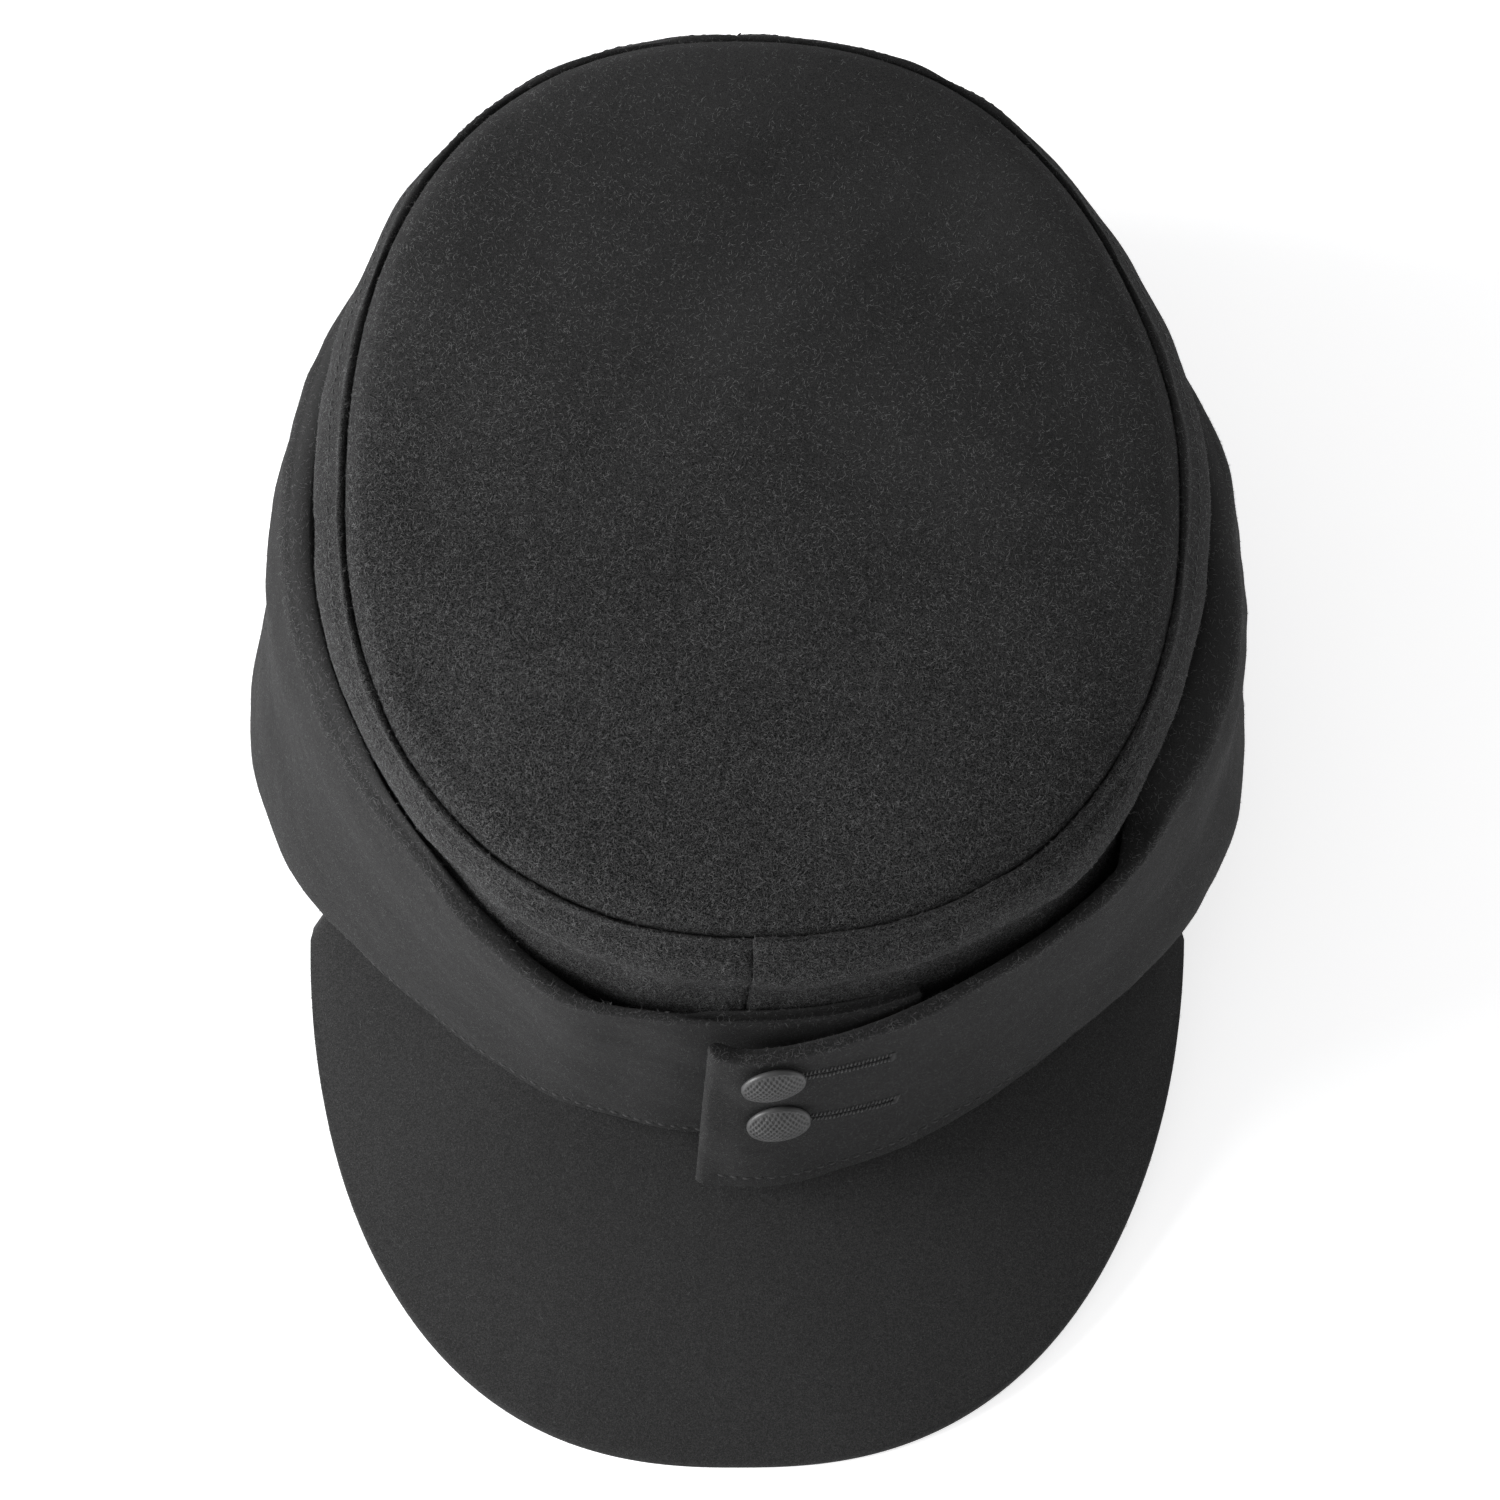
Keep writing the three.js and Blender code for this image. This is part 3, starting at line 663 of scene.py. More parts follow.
def wool_material(name, dark, light, fibre_light, spread, grain, sheen):
    """Felted wool: curled fine grain, lighter fibres lying across it, cloudy colour and sheen.

    The nap makes the grain's contrast grow towards the cap's front and left.
    """
    material, tree, shader, coordinates = new_material(name)
    curls = noise(tree, coordinates, 4400, 2, 0.7, 1.0)
    clumps = noise(tree, coordinates, 1400, 3, 0.6, 0.8)
    clouds = noise(tree, coordinates, 30, 3, 0.5)
    strands = noise(tree, coordinates, 1900, 2, 0.5, 3.5)
    fine = math_node(tree, "MULTIPLY", curls, 0.8)
    mixed = math_node(tree, "ADD", fine, math_node(tree, "MULTIPLY", clumps, 0.2))
    cloud_tone = math_node(tree, "MULTIPLY", math_node(tree, "SUBTRACT", clouds, 0.5), 0.1)
    place = node(tree, "ShaderNodeSeparateXYZ")
    tree.links.new(coordinates, place.inputs["Vector"])
    nap = node(tree, "ShaderNodeMapRange")
    nap.inputs["From Min"].default_value = 0.05
    nap.inputs["From Max"].default_value = -0.05
    nap.inputs["To Min"].default_value = 0.35
    nap.inputs["To Max"].default_value = 2.0
    aside = math_node(tree, "MULTIPLY", place.outputs["X"], 0.4)
    worn = math_node(tree, "ADD", place.outputs["Y"], aside)
    tree.links.new(worn, nap.inputs["Value"])
    centred = math_node(tree, "MULTIPLY", math_node(tree, "SUBTRACT", mixed, 0.5), nap.outputs["Result"])
    toned = math_node(tree, "ADD", math_node(tree, "ADD", centred, 0.5), cloud_tone)
    stops = ((0.5 - spread, dark), (0.5, (dark + light) / 2), (0.5 + spread, light),
             (0.5 + 2.2 * spread, 1.5 * light))
    ground = ramp(tree, toned, stops)
    fibre_share = ramp(tree, strands, ((0.62, 0.0), (0.7, 1.0)))
    blend = node(tree, "ShaderNodeMix", data_type="RGBA")
    tree.links.new(fibre_share, blend.inputs["Factor"])
    tree.links.new(ground, blend.inputs["A"])
    blend.inputs["B"].default_value = (fibre_light, fibre_light, fibre_light * 1.01, 1)
    tree.links.new(blend.outputs["Result"], shader.inputs["Base Color"])
    height = math_node(tree, "ADD", mixed, math_node(tree, "MULTIPLY", strands, 0.5))
    bump = node(tree, "ShaderNodeBump")
    bump.inputs["Strength"].default_value = grain
    bump.inputs["Distance"].default_value = 0.0005
    tree.links.new(height, bump.inputs["Height"])
    tree.links.new(bump.outputs["Normal"], shader.inputs["Normal"])
    shader.inputs["Roughness"].default_value = 0.95
    shader.inputs["Specular IOR Level"].default_value = 0.12
    shader.inputs["Sheen Weight"].default_value = sheen
    shader.inputs["Sheen Roughness"].default_value = 0.42
    shader.inputs["Sheen Tint"].default_value = (0.8, 0.8, 0.81, 1)
    return material


def plain_material(name, grey, roughness, sheen=0.0):
    """Thread, fibre or the dark inside of a slit, with a little mottling."""
    material, tree, shader, coordinates = new_material(name)
    mottle = noise(tree, coordinates, 900, 2)
    colour = ramp(tree, mottle, ((0.3, grey * 0.75), (0.7, grey * 1.25)))
    tree.links.new(colour, shader.inputs["Base Color"])
    shader.inputs["Roughness"].default_value = roughness
    shader.inputs["Specular IOR Level"].default_value = 0.2
    shader.inputs["Sheen Weight"].default_value = sheen
    return material


def button_material():
    """Grey painted metal, faintly worn, with fine grit in the paint."""
    material, tree, shader, coordinates = new_material("button_paint")
    grit = noise(tree, coordinates, 2600, 3)
    wear = noise(tree, coordinates, 380, 3, 0.65)
    colour = ramp(tree, wear, ((0.35, 0.058), (0.6, 0.074), (0.75, 0.098)))
    tree.links.new(colour, shader.inputs["Base Color"])
    roughness = math_node(tree, "ADD", math_node(tree, "MULTIPLY", wear, 0.25), 0.32)
    tree.links.new(roughness, shader.inputs["Roughness"])
    bump = node(tree, "ShaderNodeBump")
    bump.inputs["Strength"].default_value = 0.25
    bump.inputs["Distance"].default_value = 0.00006
    tree.links.new(grit, bump.inputs["Height"])
    tree.links.new(bump.outputs["Normal"], shader.inputs["Normal"])
    shader.inputs["Metallic"].default_value = 0.15
    return material


WOOL = wool_material(
    "wool", dark=0.004, light=0.056, fibre_light=0.1, spread=0.09, grain=0.8, sheen=0.05)
WOOL_FLAP = wool_material(
    "wool_flap", dark=0.017, light=0.033, fibre_light=0.046, spread=0.14, grain=0.4, sheen=0.045)
WOOL_PEAK = wool_material(
    "wool_peak", dark=0.023, light=0.044, fibre_light=0.056, spread=0.14, grain=0.35, sheen=0.04)
THREAD = plain_material("thread", 0.062, 0.6, 0.1)
FLAP_THREAD = plain_material("flap_thread", 0.042, 0.7, 0.1)
DARK_THREAD = plain_material("dark_thread", 0.03, 0.6, 0.1)
FIBRE = plain_material("loose_fibre", 0.14, 0.8, 0.1)
DARK_FIBRE = plain_material("loose_dark_fibre", 0.065, 0.8, 0.1)
# The crest's loose fibres are real fuzz, but their grey, lighter than the flap's other fibres, is a painted
# highlight along the fold's edge
CREST_FUZZ_AND_HIGHLIGHT = plain_material("loose_crest_fibre_and_highlight", 0.1, 0.8, 0.1)
SLIT = plain_material("slit_shadow", 0.006, 0.95)
PAINT = button_material()


# Top panel
def build_top():
    """A closed dome of rings: its underside from the middle out, then its face from the seam in."""
    angles = np.linspace(0, 360, TOP_COLUMNS, endpoint=False) + FRONT_SEAM
    angles = np.where(angles > 180, angles - 360, angles)
    lip = {name: WALL[name][-1] for name in WALL_COLUMNS}
    profile = np.stack([TOP["inset"], TOP["rise"]], -1)
    lengths = line_lengths(profile)
    at = np.concatenate([np.arange(0, TOP_EDGE, TOP_EDGE_STEP),
                         np.arange(TOP_EDGE, lengths[-1] - 0.5, TOP_STEP)])
    insets, rises = curve_through(lengths, profile, at).T

    def rings(insets, rises):
        scale = 1 - insets[:, None] / lip["half_width"]
        points = oval_point(lip, angles[None, :], scale)
        points[..., 2] += rises[:, None]
        fade = np.minimum(1, insets / DENT_FADE_INSET)[:, None]
        for x, y, depth, radius in zip(*(DENTS[name] for name in ("x", "y", "depth", "radius"))):
            distance = np.hypot(points[..., 0] - x, points[..., 1] - y) / radius
            points[..., 2] -= fade * depth * np.exp(-distance ** 2)
        return points

    outer = rings(insets, rises)
    calm = smooth_step(2, 16, insets)[:, None]
    soft = softness(outer, (70, 38, 21), 0.32, 11) * calm + softness(outer, (9, 5.5), 0.035, 12)
    outer[..., 2] += soft
    under_insets = np.array(TOP_UNDER_INSETS)
    under_rises = curve_through(TOP["inset"][2:], TOP["rise"][2:], under_insets) - WALL_CLOTH
    under_rises[-1] = TOP_UNDER_EDGE
    inner = rings(under_insets, under_rises)
    grid = np.concatenate([inner, outer])
    rows, columns = grid.shape[:2]
    x, _ = section_middle(lip, lip["middle_y"])
    centre = np.array([x, lip["middle_y"], outer[-1, :, 2].mean() + 0.02])
    under_centre = centre - np.array([0, 0, WALL_CLOTH])
    numbers = np.arange(rows * columns).reshape(rows, columns)
    after = np.roll(numbers, -1, axis=1)
    quads = np.stack([numbers[:-1].ravel(), after[:-1].ravel(), after[1:].ravel(), numbers[1:].ravel()], -1)
    faces = quads.tolist()
    total = rows * columns
    faces += [(total, after[0, j], numbers[0, j]) for j in range(columns)]
    faces += [(total + 1, numbers[-1, j], after[-1, j]) for j in range(columns)]
    faces = [tuple(int(v) for v in face) for face in faces]
    points = np.concatenate([grid.reshape(-1, 3), [under_centre, centre]])
    add_piece("crown_top_wool", points, faces, WOOL, "wool", "crown_top")
    closed = np.concatenate([outer, outer[:, :1]], axis=1)
    add_piece("crown_top_fibres", *fibres(closed[TOP_LIP_ROWS:], TOP_FIBRES, 21), FIBRE, "wool")


# Side panels
def build_side(name, from_angle, to_angle, seed):
    """A side panel with its topstitch and fibres, from one seam to the other."""
    length = (to_angle - from_angle) * DEGREE_ARC
    columns = edge_spaced(length, SIDE_STEP, SEAM_ROUND, SEAM_ROUND, turns=4)
    angles = from_angle + columns / DEGREE_ARC
    skin, rows, stitch_at = side_skin(angles)
    normals = grid_normals(skin)
    line, _ = row_line(skin, normals, rows, stitch_at)
    distance = (rows - stitch_at)[:, None]
    relief = pucker(line, distance, 0.1, 0.8)
    shown = smooth_step(SIDE_SHOWN_FROM, SIDE_SHOWN_FULL, rows)[:, None]
    relief = relief + shown * (softness(skin, (46, 24, 13), 0.3, 31) + softness(skin, (7, 4.5), 0.04, 32))
    front = length - columns if name == "side_left" else columns
    seam_pull = -SEAM_PULL * np.exp(-(front / SEAM_PULL_WIDTH) ** 2)
    if name == "side_left":
        beside = (front - SEAM_GROOVE_AT) / SEAM_GROOVE_WIDTH
        seam_pull = seam_pull - SEAM_GROOVE * np.exp(-beside ** 2)
    relief = relief + shown * seam_pull[None, :]
    if name == "side_right":
        fuller = FULL_SHOULDER * np.exp(-((angles - FULL_SHOULDER_ANGLE) / FULL_SHOULDER_SPREAD) ** 2)
        relief = relief + fuller[None, :] * (1 - smooth_step(-9, -2.5, rows - rows[-1]))[:, None]
    skin = skin + normals * relief[..., None]
    full = rows[-1]
    thin = LIP_THIN + (1 - LIP_THIN) * smooth_step(LIP_THIN_UNTIL, LIP_FULL_FROM, full - rows)
    thick = (WALL_CLOTH / 2 * thin)[:, None]
    share = (edge_round(rows, SIDE_EDGE) * edge_round(full - rows, SIDE_EDGE))[:, None]
    share = share * (edge_round(columns, SEAM_ROUND) * edge_round(length - columns, SEAM_ROUND))[None, :]
    middle = skin - normals * thick[..., None]
    outer = middle + normals * (thick * share)[..., None]
    inner = middle - normals * (thick * share)[..., None]
    add_piece(name + "_wool", *sheet_mesh(outer, inner), WOOL, "wool", name)
    line, ups = row_line(outer, normals, rows, stitch_at)
    add_piece(name + "_topstitch", *stitched(line, ups, sink=0.16), DARK_THREAD, "wool")
    seen = rows > SIDE_FIBRES_FROM
    add_piece(name + "_fibres", *fibres(outer[seen], SIDE_FIBRES, seed + 2), FIBRE, "wool")


# Turn-up flap
class Flap:
    """One half of the flap as a grid: rows run up it, columns run round the cap."""

    def __init__(self, sections, from_angle, to_angle, lean):
        self.sections = sections
        bulge = FLAP_BULGE / DEGREE_ARC
        self.length = (to_angle - from_angle + 2 * bulge) * DEGREE_ARC
        self.columns = edge_spaced(self.length, FLAP_STEP, FLAP_EDGE, FLAP_EDGE)
        self.height = FLAP_HEIGHT + 2 * FLAP_BULGE
        self.rows = edge_spaced(self.height, FLAP_ROW_STEP, FLAP_EDGE, FLAP_EDGE)
        shares = (self.rows - FLAP_BULGE) / FLAP_HEIGHT
        along = self.columns / self.length
        middles = []
        for share in FLAP_SHARES:
            start = from_angle + lean * share - bulge
            angles = start + (to_angle + bulge - start) * along
            middles.append(self.middle_at(angles, share))
        self.start = from_angle - bulge
        self.lean = lean
        self.end = to_angle + bulge
        self.angles = self.start + self.columns / DEGREE_ARC
        self.middle = curve_through(FLAP_SHARES, np.array(middles), shares)
        self.normals = grid_normals(self.middle)
        self.behind = np.array([self.room_behind(row) for row in self.middle])

    def value(self, column, angles):
        return curve_through(self.sections["angle"], self.sections[column], angles, True)

    def middle_at(self, angles, share):
        height = self.value("bottom", angles)
        height = height + (self.value("top", angles) - height) * share
        knots = [self.value(name, angles) for name in ("bottom_gap", "belly_gap", "valley_gap", "top_gap")]
        gap = curve_through(GAP_SHARES, np.array(knots), np.array([share]), True)[0]
        reach = gap + FLAP_CLOTH / 2
        return wall_at(angles, height) + outward_at(angles, height) * reach[:, None]

    def room_behind(self, row):
        """Distance from the middle of the cloth to the side panel's skin, along one row."""
        skin = wall_at(self.angles, row[:, 2], SKIN_WALL)
        return ((row - skin) * outward_at(self.angles, row[:, 2])).sum(-1)

    def on_face(self, angle, height):
        """Place and directions on the outer face: sideways, upward and outward."""
        share = self.share_at(angle, height)
        start = self.start + self.lean * share
        column = (angle - start) / (self.end - start) * self.length
        row = share * (self.height - 2 * FLAP_BULGE) + FLAP_BULGE
        i = int(np.clip(np.searchsorted(self.rows, row) - 1, 0, len(self.rows) - 2))
        j = int(np.clip(np.searchsorted(self.columns, column) - 1, 0, len(self.columns) - 2))
        u = (column - self.columns[j]) / (self.columns[j + 1] - self.columns[j])
        v = (row - self.rows[i]) / (self.rows[i + 1] - self.rows[i])
        corners = self.outer[i:i + 2, j:j + 2]
        place = ((corners[0, 0] * (1 - u) + corners[0, 1] * u) * (1 - v)
                 + (corners[1, 0] * (1 - u) + corners[1, 1] * u) * v)
        near = 4
        sideways = unit(self.outer[i, j + near] - self.outer[i, j - near])
        upward = unit(self.outer[i + near, j] - self.outer[i - near, j])
        outward = unit(np.cross(sideways, upward))
        return place, sideways, np.cross(outward, sideways), outward

    def share_at(self, angle, height):
        bottom = self.value("bottom", np.array([angle]))[0]
        top = self.value("top", np.array([angle]))[0]
        return (height - bottom) / (top - bottom)


def build_flap(name, flap, stitch_height, opening, crest_drop, seed, layered):
    """One half of the flap with its topstitch and fibres. The layered half lies under the tab."""
    rows = flap.rows
    columns = flap.columns
    from_top = (flap.height - rows)[:, None]
    from_end = flap.length - columns
    share = (edge_round(rows, FLAP_EDGE) * edge_round(flap.height - rows, FLAP_EDGE))[:, None]
    share = share * (edge_round(columns, FLAP_EDGE) * edge_round(from_end, FLAP_EDGE))[None, :]
    thick = FLAP_CLOTH / 2 * share
    around = np.abs(flap.angles)[None, :]
    room = curve_through(opening["angle"], opening["room"], around, True)
    rise = curve_through(opening["angle"], opening["rise"], around, True)
    swell = smooth_step(-0.1, crest_drop, from_top) * (1 - smooth_step(12, 26, from_top))
    fill = swell * np.maximum(flap.behind - thick - room, 0)
    middle = flap.middle
    normals = flap.normals
    skin = middle + normals * thick[..., None]
    line, _ = row_line(skin, normals, rows, stitch_height + FLAP_BULGE)
    relief = pucker(line, (rows - stitch_height - FLAP_BULGE)[:, None], 0.3, 0.75)
    relief = relief + softness(middle, (52, 30, 17), 0.34, seed) + softness(middle, (8, 5), 0.05, seed + 1)
    relief = relief * share
    outer = middle + normals * (thick + relief)[..., None]
    inner = middle - normals * (thick + fill)[..., None]
    if layered:
        beside_tab = smooth_step(4, 10, -flap.angles) * (1 - smooth_step(26, 36, -flap.angles))
        thin = 0.9 * beside_tab[None, :] * (1 - smooth_step(0.5, 6, from_top))
        inner = inner + normals * (thick * thin)[..., None]
    height = rise * (1 - smooth_step(0.4, 2.2, room))
    inward = thick + fill
    full = np.maximum(inward[np.argmin(np.abs(from_top[:, 0] - FLAP_EDGE))], 0.1)
    roll = 1 - ((np.minimum(inward / full, 1) - CREST_ROLL_TOP) / CREST_ROLL_TOP) ** 2
    fade = 1 - smooth_step(FLAP_EDGE, CREST_ROLL_DEPTH, from_top)
    inner[..., 2] += height * (roll + CREST_ROLL_START) * fade
    outer[..., 2] += height * CREST_ROLL_START * (1 - edge_round(from_top, FLAP_EDGE))
    if layered:
        behind_tab = 1 - smooth_step(4, 10, -flap.angles)[None, :]
        notch = UNDER_TAB_NOTCH * behind_tab * np.exp(-(thick / 0.7) ** 2) * (from_top < 1.6)
        outer[..., 2] -= notch
        inner[..., 2] -= notch
    else:
        corner = TAB_CORNER_RISE * np.exp(-(columns / TAB_CORNER_WIDTH) ** 2)[None, :]
        corner = corner * (1 - smooth_step(0, CREST_ROLL_DEPTH, from_top))
        outer[..., 2] += corner
        inner[..., 2] += corner
    flap.outer = outer
    add_piece(name + "_wool", *sheet_mesh(outer, inner), WOOL_FLAP, "wool", name)
    line, ups = row_line(outer, normals, rows, stitch_height + FLAP_BULGE)
    add_piece(name + "_topstitch", *stitched(line, ups, first=4), FLAP_THREAD, "wool")
    add_piece(name + "_fibres", *fibres(outer, FLAP_FIBRES, seed + 2), DARK_FIBRE, "wool")
    # Loose fibres on both faces of the crest: real fuzz, given a lighter grey as a painted highlight along
    # the fold's edge
    crest = rows > flap.height - 1.7
    loose = [fibres(outer[crest], 1300, seed + 3, 1.4, 0.5),
             fibres(inner[crest][:, ::-1], 900, seed + 4, 1.4, 0.4)]
    add_piece(name + "_crest_fibres_and_highlight", *join(loose), CREST_FUZZ_AND_HIGHLIGHT, "wool")


# Peak
def build_peak():
    """The board from its root under the flap to its edge, with its columns closer at the sides."""
    across = np.linspace(-1, 1, PEAK_COLUMNS)
    turn_share = np.sin(across * math.pi / 2)
    turn = np.sign(turn_share) * np.arcsin(np.abs(turn_share) ** (PEAK_SIDE_FULL / 2))
    shares = turn / math.pi + 0.5
    aside = np.sign(turn) * np.abs(np.sin(turn)) ** (2 / PEAK_SIDE_FULL)
    forward = np.abs(np.cos(turn)) ** (2 / PEAK_FRONT_FULL)
    edge_x = PEAK_MIDDLE_X + (PEAK_TIP_X - PEAK_MIDDLE_X) * forward + PEAK_HALF_WIDTH * aside
    edge_y = PEAK_SHOULDER_Y - PEAK_REACH * forward
    angles = -PEAK_ROOT_ANGLE + 2 * PEAK_ROOT_ANGLE * shares
    rim = {name: WALL[name][0] for name in WALL_COLUMNS}
    root = oval_point(rim, angles) + outward_at(angles, np.zeros(len(angles))) * PEAK_TUCK
    root[:, 2] = PEAK_ROOT_HEIGHT
    length = np.hypot(edge_x - root[:, 0], edge_y - root[:, 1])
    edge = np.stack([edge_x, edge_y, PEAK_ROOT_HEIGHT - PEAK_SLOPE * length], -1)
    reach = PEAK_GRID_REACH
    rows = edge_spaced(reach, PEAK_ROW_STEP, PEAK_EDGE, PEAK_EDGE)[::-1]
    top = root[None] + (edge - root)[None] * (rows / reach)[:, None, None]
    normals = grid_normals(top)
    columns = line_lengths(edge)
    from_end = columns[-1] - columns
    share = (edge_round(rows, PEAK_EDGE) * edge_round(reach - rows, PEAK_EDGE))[:, None]
    share = share * (edge_round(columns, PEAK_EDGE) * edge_round(from_end, PEAK_EDGE))[None, :]
    thick = PEAK_BOARD / 2
    middle = top - normals * thick
    away = unit(edge - root)[None]
    middle = middle + away * (PEAK_BULGE * smooth_step(reach - 6, reach, rows)[:, None])[..., None]
    crown = PEAK_CROWN * np.sin(math.pi * rows / reach)[:, None]
    soft = softness(middle, (80, 45, 26), 0.22, 51) + softness(middle, (9, 6), 0.03, 52)
    outer = middle + normals * (share * (thick + soft + crown))[..., None]
    inner = middle - normals * (share * thick)[..., None]
    add_piece("peak_wool", *sheet_mesh(outer, inner), WOOL_PEAK, "wool", "peak")
    add_piece("peak_fibres", *fibres(outer, PEAK_FIBRES, 53, 1.1, 0.25), DARK_FIBRE, "wool")


# Buttons and buttonholes
def turned(seat, degrees, nod):
    """A seat whose outward direction is turned sideways and nodded upwards by small angles."""
    place, sideways, upward, outward = seat
    aside = sideways * math.tan(math.radians(degrees))
    outward = unit(outward + aside + upward * math.tan(math.radians(nod)))
    sideways = unit(np.cross(upward, outward))
    return place, sideways, np.cross(outward, sideways), outward


def build_button(name, seat):
    """A domed button with rows of fine pits over its face, a rolled rim and a sewn shank."""
    place, sideways, upward, outward = seat
    around = np.linspace(0, 2 * math.pi, BUTTON_STEPS, endpoint=False)
    radii = np.linspace(0.97, 0.012, BUTTON_RINGS) * BUTTON_RADIUS
    back = [(1.3, -3.0), (1.3, -0.1), (BUTTON_RADIUS - 1.1, 0.0), (BUTTON_RADIUS - 0.35, 0.08),
            (BUTTON_RADIUS - 0.06, 0.34), (BUTTON_RADIUS, 0.62), (BUTTON_RADIUS - 0.05, 0.86)]
    face = [(r, BUTTON_RIM + 0.2 + BUTTON_DOME * (1 - (r / BUTTON_RADIUS) ** 2) ** 0.8) for r in radii]
    profile = np.array(back + face)
    r, z = profile[:, 0][:, None], profile[:, 1][:, None]
    x = r * np.cos(around)[None, :]
    y = r * np.sin(around)[None, :]
    z = np.repeat(z, BUTTON_STEPS, axis=1)
    in_face = (np.arange(len(profile)) >= len(back))[:, None]
    on_face = in_face * smooth_step(0.98, 0.86, r / BUTTON_RADIUS)
    diagonal = math.pi * (x / PIT_PITCH_ACROSS + y / PIT_PITCH_UP)
    counter = math.pi * (x / PIT_PITCH_ACROSS - y / PIT_PITCH_UP)
    pits = smooth_step(0.1, 0.9, np.abs(np.cos(diagonal) * np.cos(counter)))
    z = z - PIT_DEPTH * on_face * pits
    lift = place + outward * BUTTON_LIFT
    points = (lift + x[..., None] * sideways + y[..., None] * upward + z[..., None] * outward)
    rows = len(profile)
    numbers = np.arange(rows * BUTTON_STEPS).reshape(rows, BUTTON_STEPS)
    after = np.roll(numbers, -1, axis=1)
    faces = np.stack([numbers[:-1].ravel(), after[:-1].ravel(), after[1:].ravel(), numbers[1:].ravel()], -1)
    faces = [tuple(face) for face in faces.tolist()]
    faces.append(tuple(int(v) for v in numbers[0][::-1]))
    faces.append(tuple(int(v) for v in numbers[-1]))
    add_piece(name + "_metal", points.reshape(-1, 3), faces, PAINT, "button", name)


def build_buttonhole(name, flap, angle, height, drop):
    """Two rows of close stitches along a dark slit, with a bar across its far end."""
    reach = np.arange(BUTTONHOLE_START, BUTTONHOLE_LENGTH, BUTTONHOLE_PITCH)
    seats = [flap.on_face(angle + x / DEGREE_ARC, height - drop * x) for x in reach]
    places = np.array([seat[0] for seat in seats])
    outs = np.array([seat[3] for seat in seats])
    ahead = unit(np.gradient(places, axis=0))
    ups = unit(np.cross(outs, ahead))
    rng = np.random.default_rng(len(name))
    parts = []
    for side in (-1, 1):
        wander = rng.normal(size=(len(places), 1)) * 0.12
        centres = places + ups * (side * BUTTONHOLE_HALF_WIDTH + wander) + outs * 0.14
        parts.append(threads(centres, unit(ups + ahead * wander), outs, 1.3, 0.19, 5, 4))
    bar = places[-1] + ahead[-1] * 0.6
    steps = np.linspace(-1.3, 1.3, 6)[:, None]
    centres = bar + ups[-1] * steps + outs[-1] * 0.14
    across = np.repeat(ahead[-1:], len(steps), 0)
    parts.append(threads(centres, across, np.repeat(outs[-1:], len(steps), 0), 1.2, 0.2, 5, 4))
    add_piece(name + "_buttonhole", *join(parts), THREAD, "wool")
    width = 0.2 + 0.3 * np.sqrt(np.linspace(1, 0, len(places)))[:, None]
    upper = places + ups * width + outs * 0.12
    lower = places - ups * width + outs * 0.12
    strip = np.stack([lower, places - outs * 0.3, upper], axis=0)
    slit = np.concatenate([strip, strip[::-1] - outs[None] * 0.3])
    rows, columns = slit.shape[:2]
    numbers = np.arange(rows * columns).reshape(rows, columns)
    below = np.roll(numbers, -1, axis=0)
    corners = [numbers[:, :-1], numbers[:, 1:], below[:, 1:], below[:, :-1]]
    faces = [tuple(face) for face in np.stack([corner.ravel() for corner in corners], -1).tolist()]
    faces.append(tuple(int(v) for v in numbers[:, 0]))
    faces.append(tuple(int(v) for v in numbers[::-1, -1]))
    add_piece(name + "_slit", slit.reshape(-1, 3), faces, SLIT, "wool")


flap_left = Flap(FLAP_LEFT, -BACK_SEAM + BACK_SEAM_ROOM, UNDER_TAB_END, 0)
flap_right = Flap(FLAP_RIGHT, TAB_END, BACK_SEAM - BACK_SEAM_ROOM, TAB_END_LEAN)
build_top()
build_side("side_right", FRONT_SEAM - SEAM_OVERLAP, BACK_SEAM + SEAM_OVERLAP, 31)
build_side("side_left", -BACK_SEAM - SEAM_OVERLAP, FRONT_SEAM + SEAM_OVERLAP, 34)
build_flap("flap_left", flap_left, LEFT_STITCH_HEIGHT, OPENING_LEFT, LEFT_CREST_DROP, 41, True)
build_flap("flap_right", flap_right, RIGHT_STITCH_HEIGHT, OPENING_RIGHT, RIGHT_CREST_DROP, 46, False)
build_peak()
for button_name, (button_angle, button_height, turn, nod, drop) in BUTTONS.items():
    build_button(button_name, turned(flap_right.on_face(button_angle, button_height), turn, nod))
    build_buttonhole(button_name, flap_right, button_angle, button_height, drop)

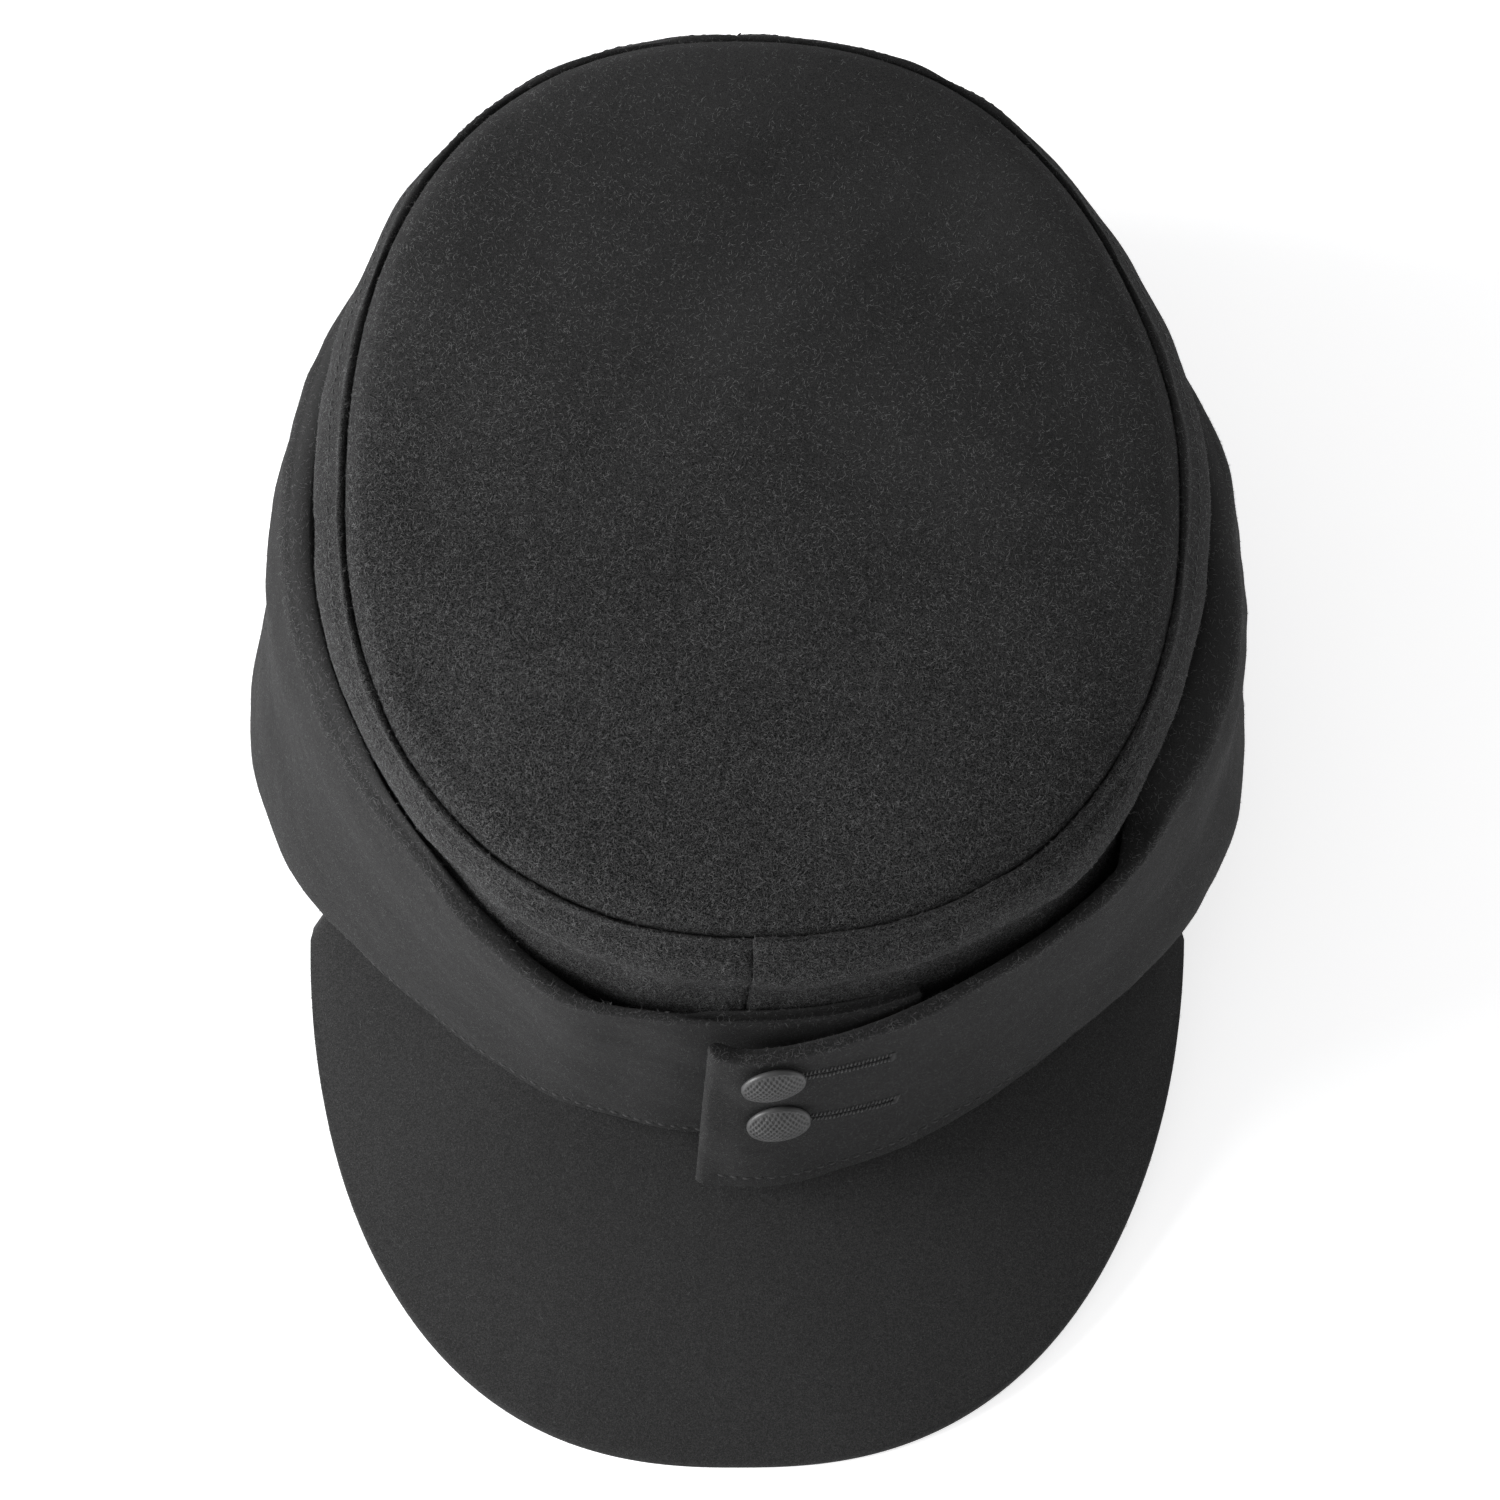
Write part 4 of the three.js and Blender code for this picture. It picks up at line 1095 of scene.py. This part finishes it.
# Floor
bpy.ops.mesh.primitive_plane_add(size=6)
floor = bpy.context.object
floor.name = "floor"
floor_material, floor_tree, floor_shader, floor_coordinates = new_material("floor_paper")
floor_tone = ramp(floor_tree, noise(floor_tree, floor_coordinates, 3, 2), ((0.3, 0.93), (0.7, 0.95)))
floor_tree.links.new(floor_tone, floor_shader.inputs["Base Color"])
floor_shader.inputs["Roughness"].default_value = 0.9
floor_shader.inputs["Specular IOR Level"].default_value = 0.1
floor_shader.inputs["Emission Color"].default_value = (1, 1, 1, 1)
floor_shader.inputs["Emission Strength"].default_value = 0.6
floor.data.materials.append(floor_material)

# Soft white surroundings, a broad and a low light from the left and a weak one from the back right
world = bpy.data.worlds.new("studio")
world.use_nodes = True
world.node_tree.nodes["Background"].inputs["Color"].default_value = (1, 1, 1, 1)
world.node_tree.nodes["Background"].inputs["Strength"].default_value = 0.42
bpy.context.scene.world = world


def area_light(name, place, aim, size, power):
    light = bpy.data.lights.new(name, "AREA")
    light.shape = "DISK"
    light.size = size
    light.energy = power
    holder = bpy.data.objects.new(name, light)
    holder.location = place
    holder.rotation_euler = (Vector(aim) - Vector(place)).to_track_quat("-Z", "Y").to_euler()
    bpy.context.scene.collection.objects.link(holder)


area_light("left_light", (-1.3, -0.12, 0.54), (0, 0, 0.05), 0.8, 22.5)
area_light("low_left_light", (-1.2, 0.15, 0.2), (0, 0, 0.05), 0.5, 3)
area_light("right_light", (1.3, 0.3, 0.4), (0, 0, 0.05), 0.7, 1.5)

# Camera
target = to_frame(np.array(CAMERA_TARGET))
elevation = math.radians(CAMERA_ELEVATION) + REST_TILT
camera_data = bpy.data.cameras.new("camera")
camera_data.lens = CAMERA_LENS
camera_data.sensor_width = 36
camera_data.sensor_fit = "HORIZONTAL"
camera_data.clip_start = 0.01
camera = bpy.data.objects.new("camera", camera_data)
direction = Vector((0, -math.cos(elevation), math.sin(elevation)))
camera.location = Vector(target) + direction * CAMERA_DISTANCE * MM
camera.rotation_euler = (-direction).to_track_quat("-Z", "Y").to_euler()
bpy.context.scene.collection.objects.link(camera)
bpy.context.scene.camera = camera
bpy.context.scene.view_settings.view_transform = "Standard"
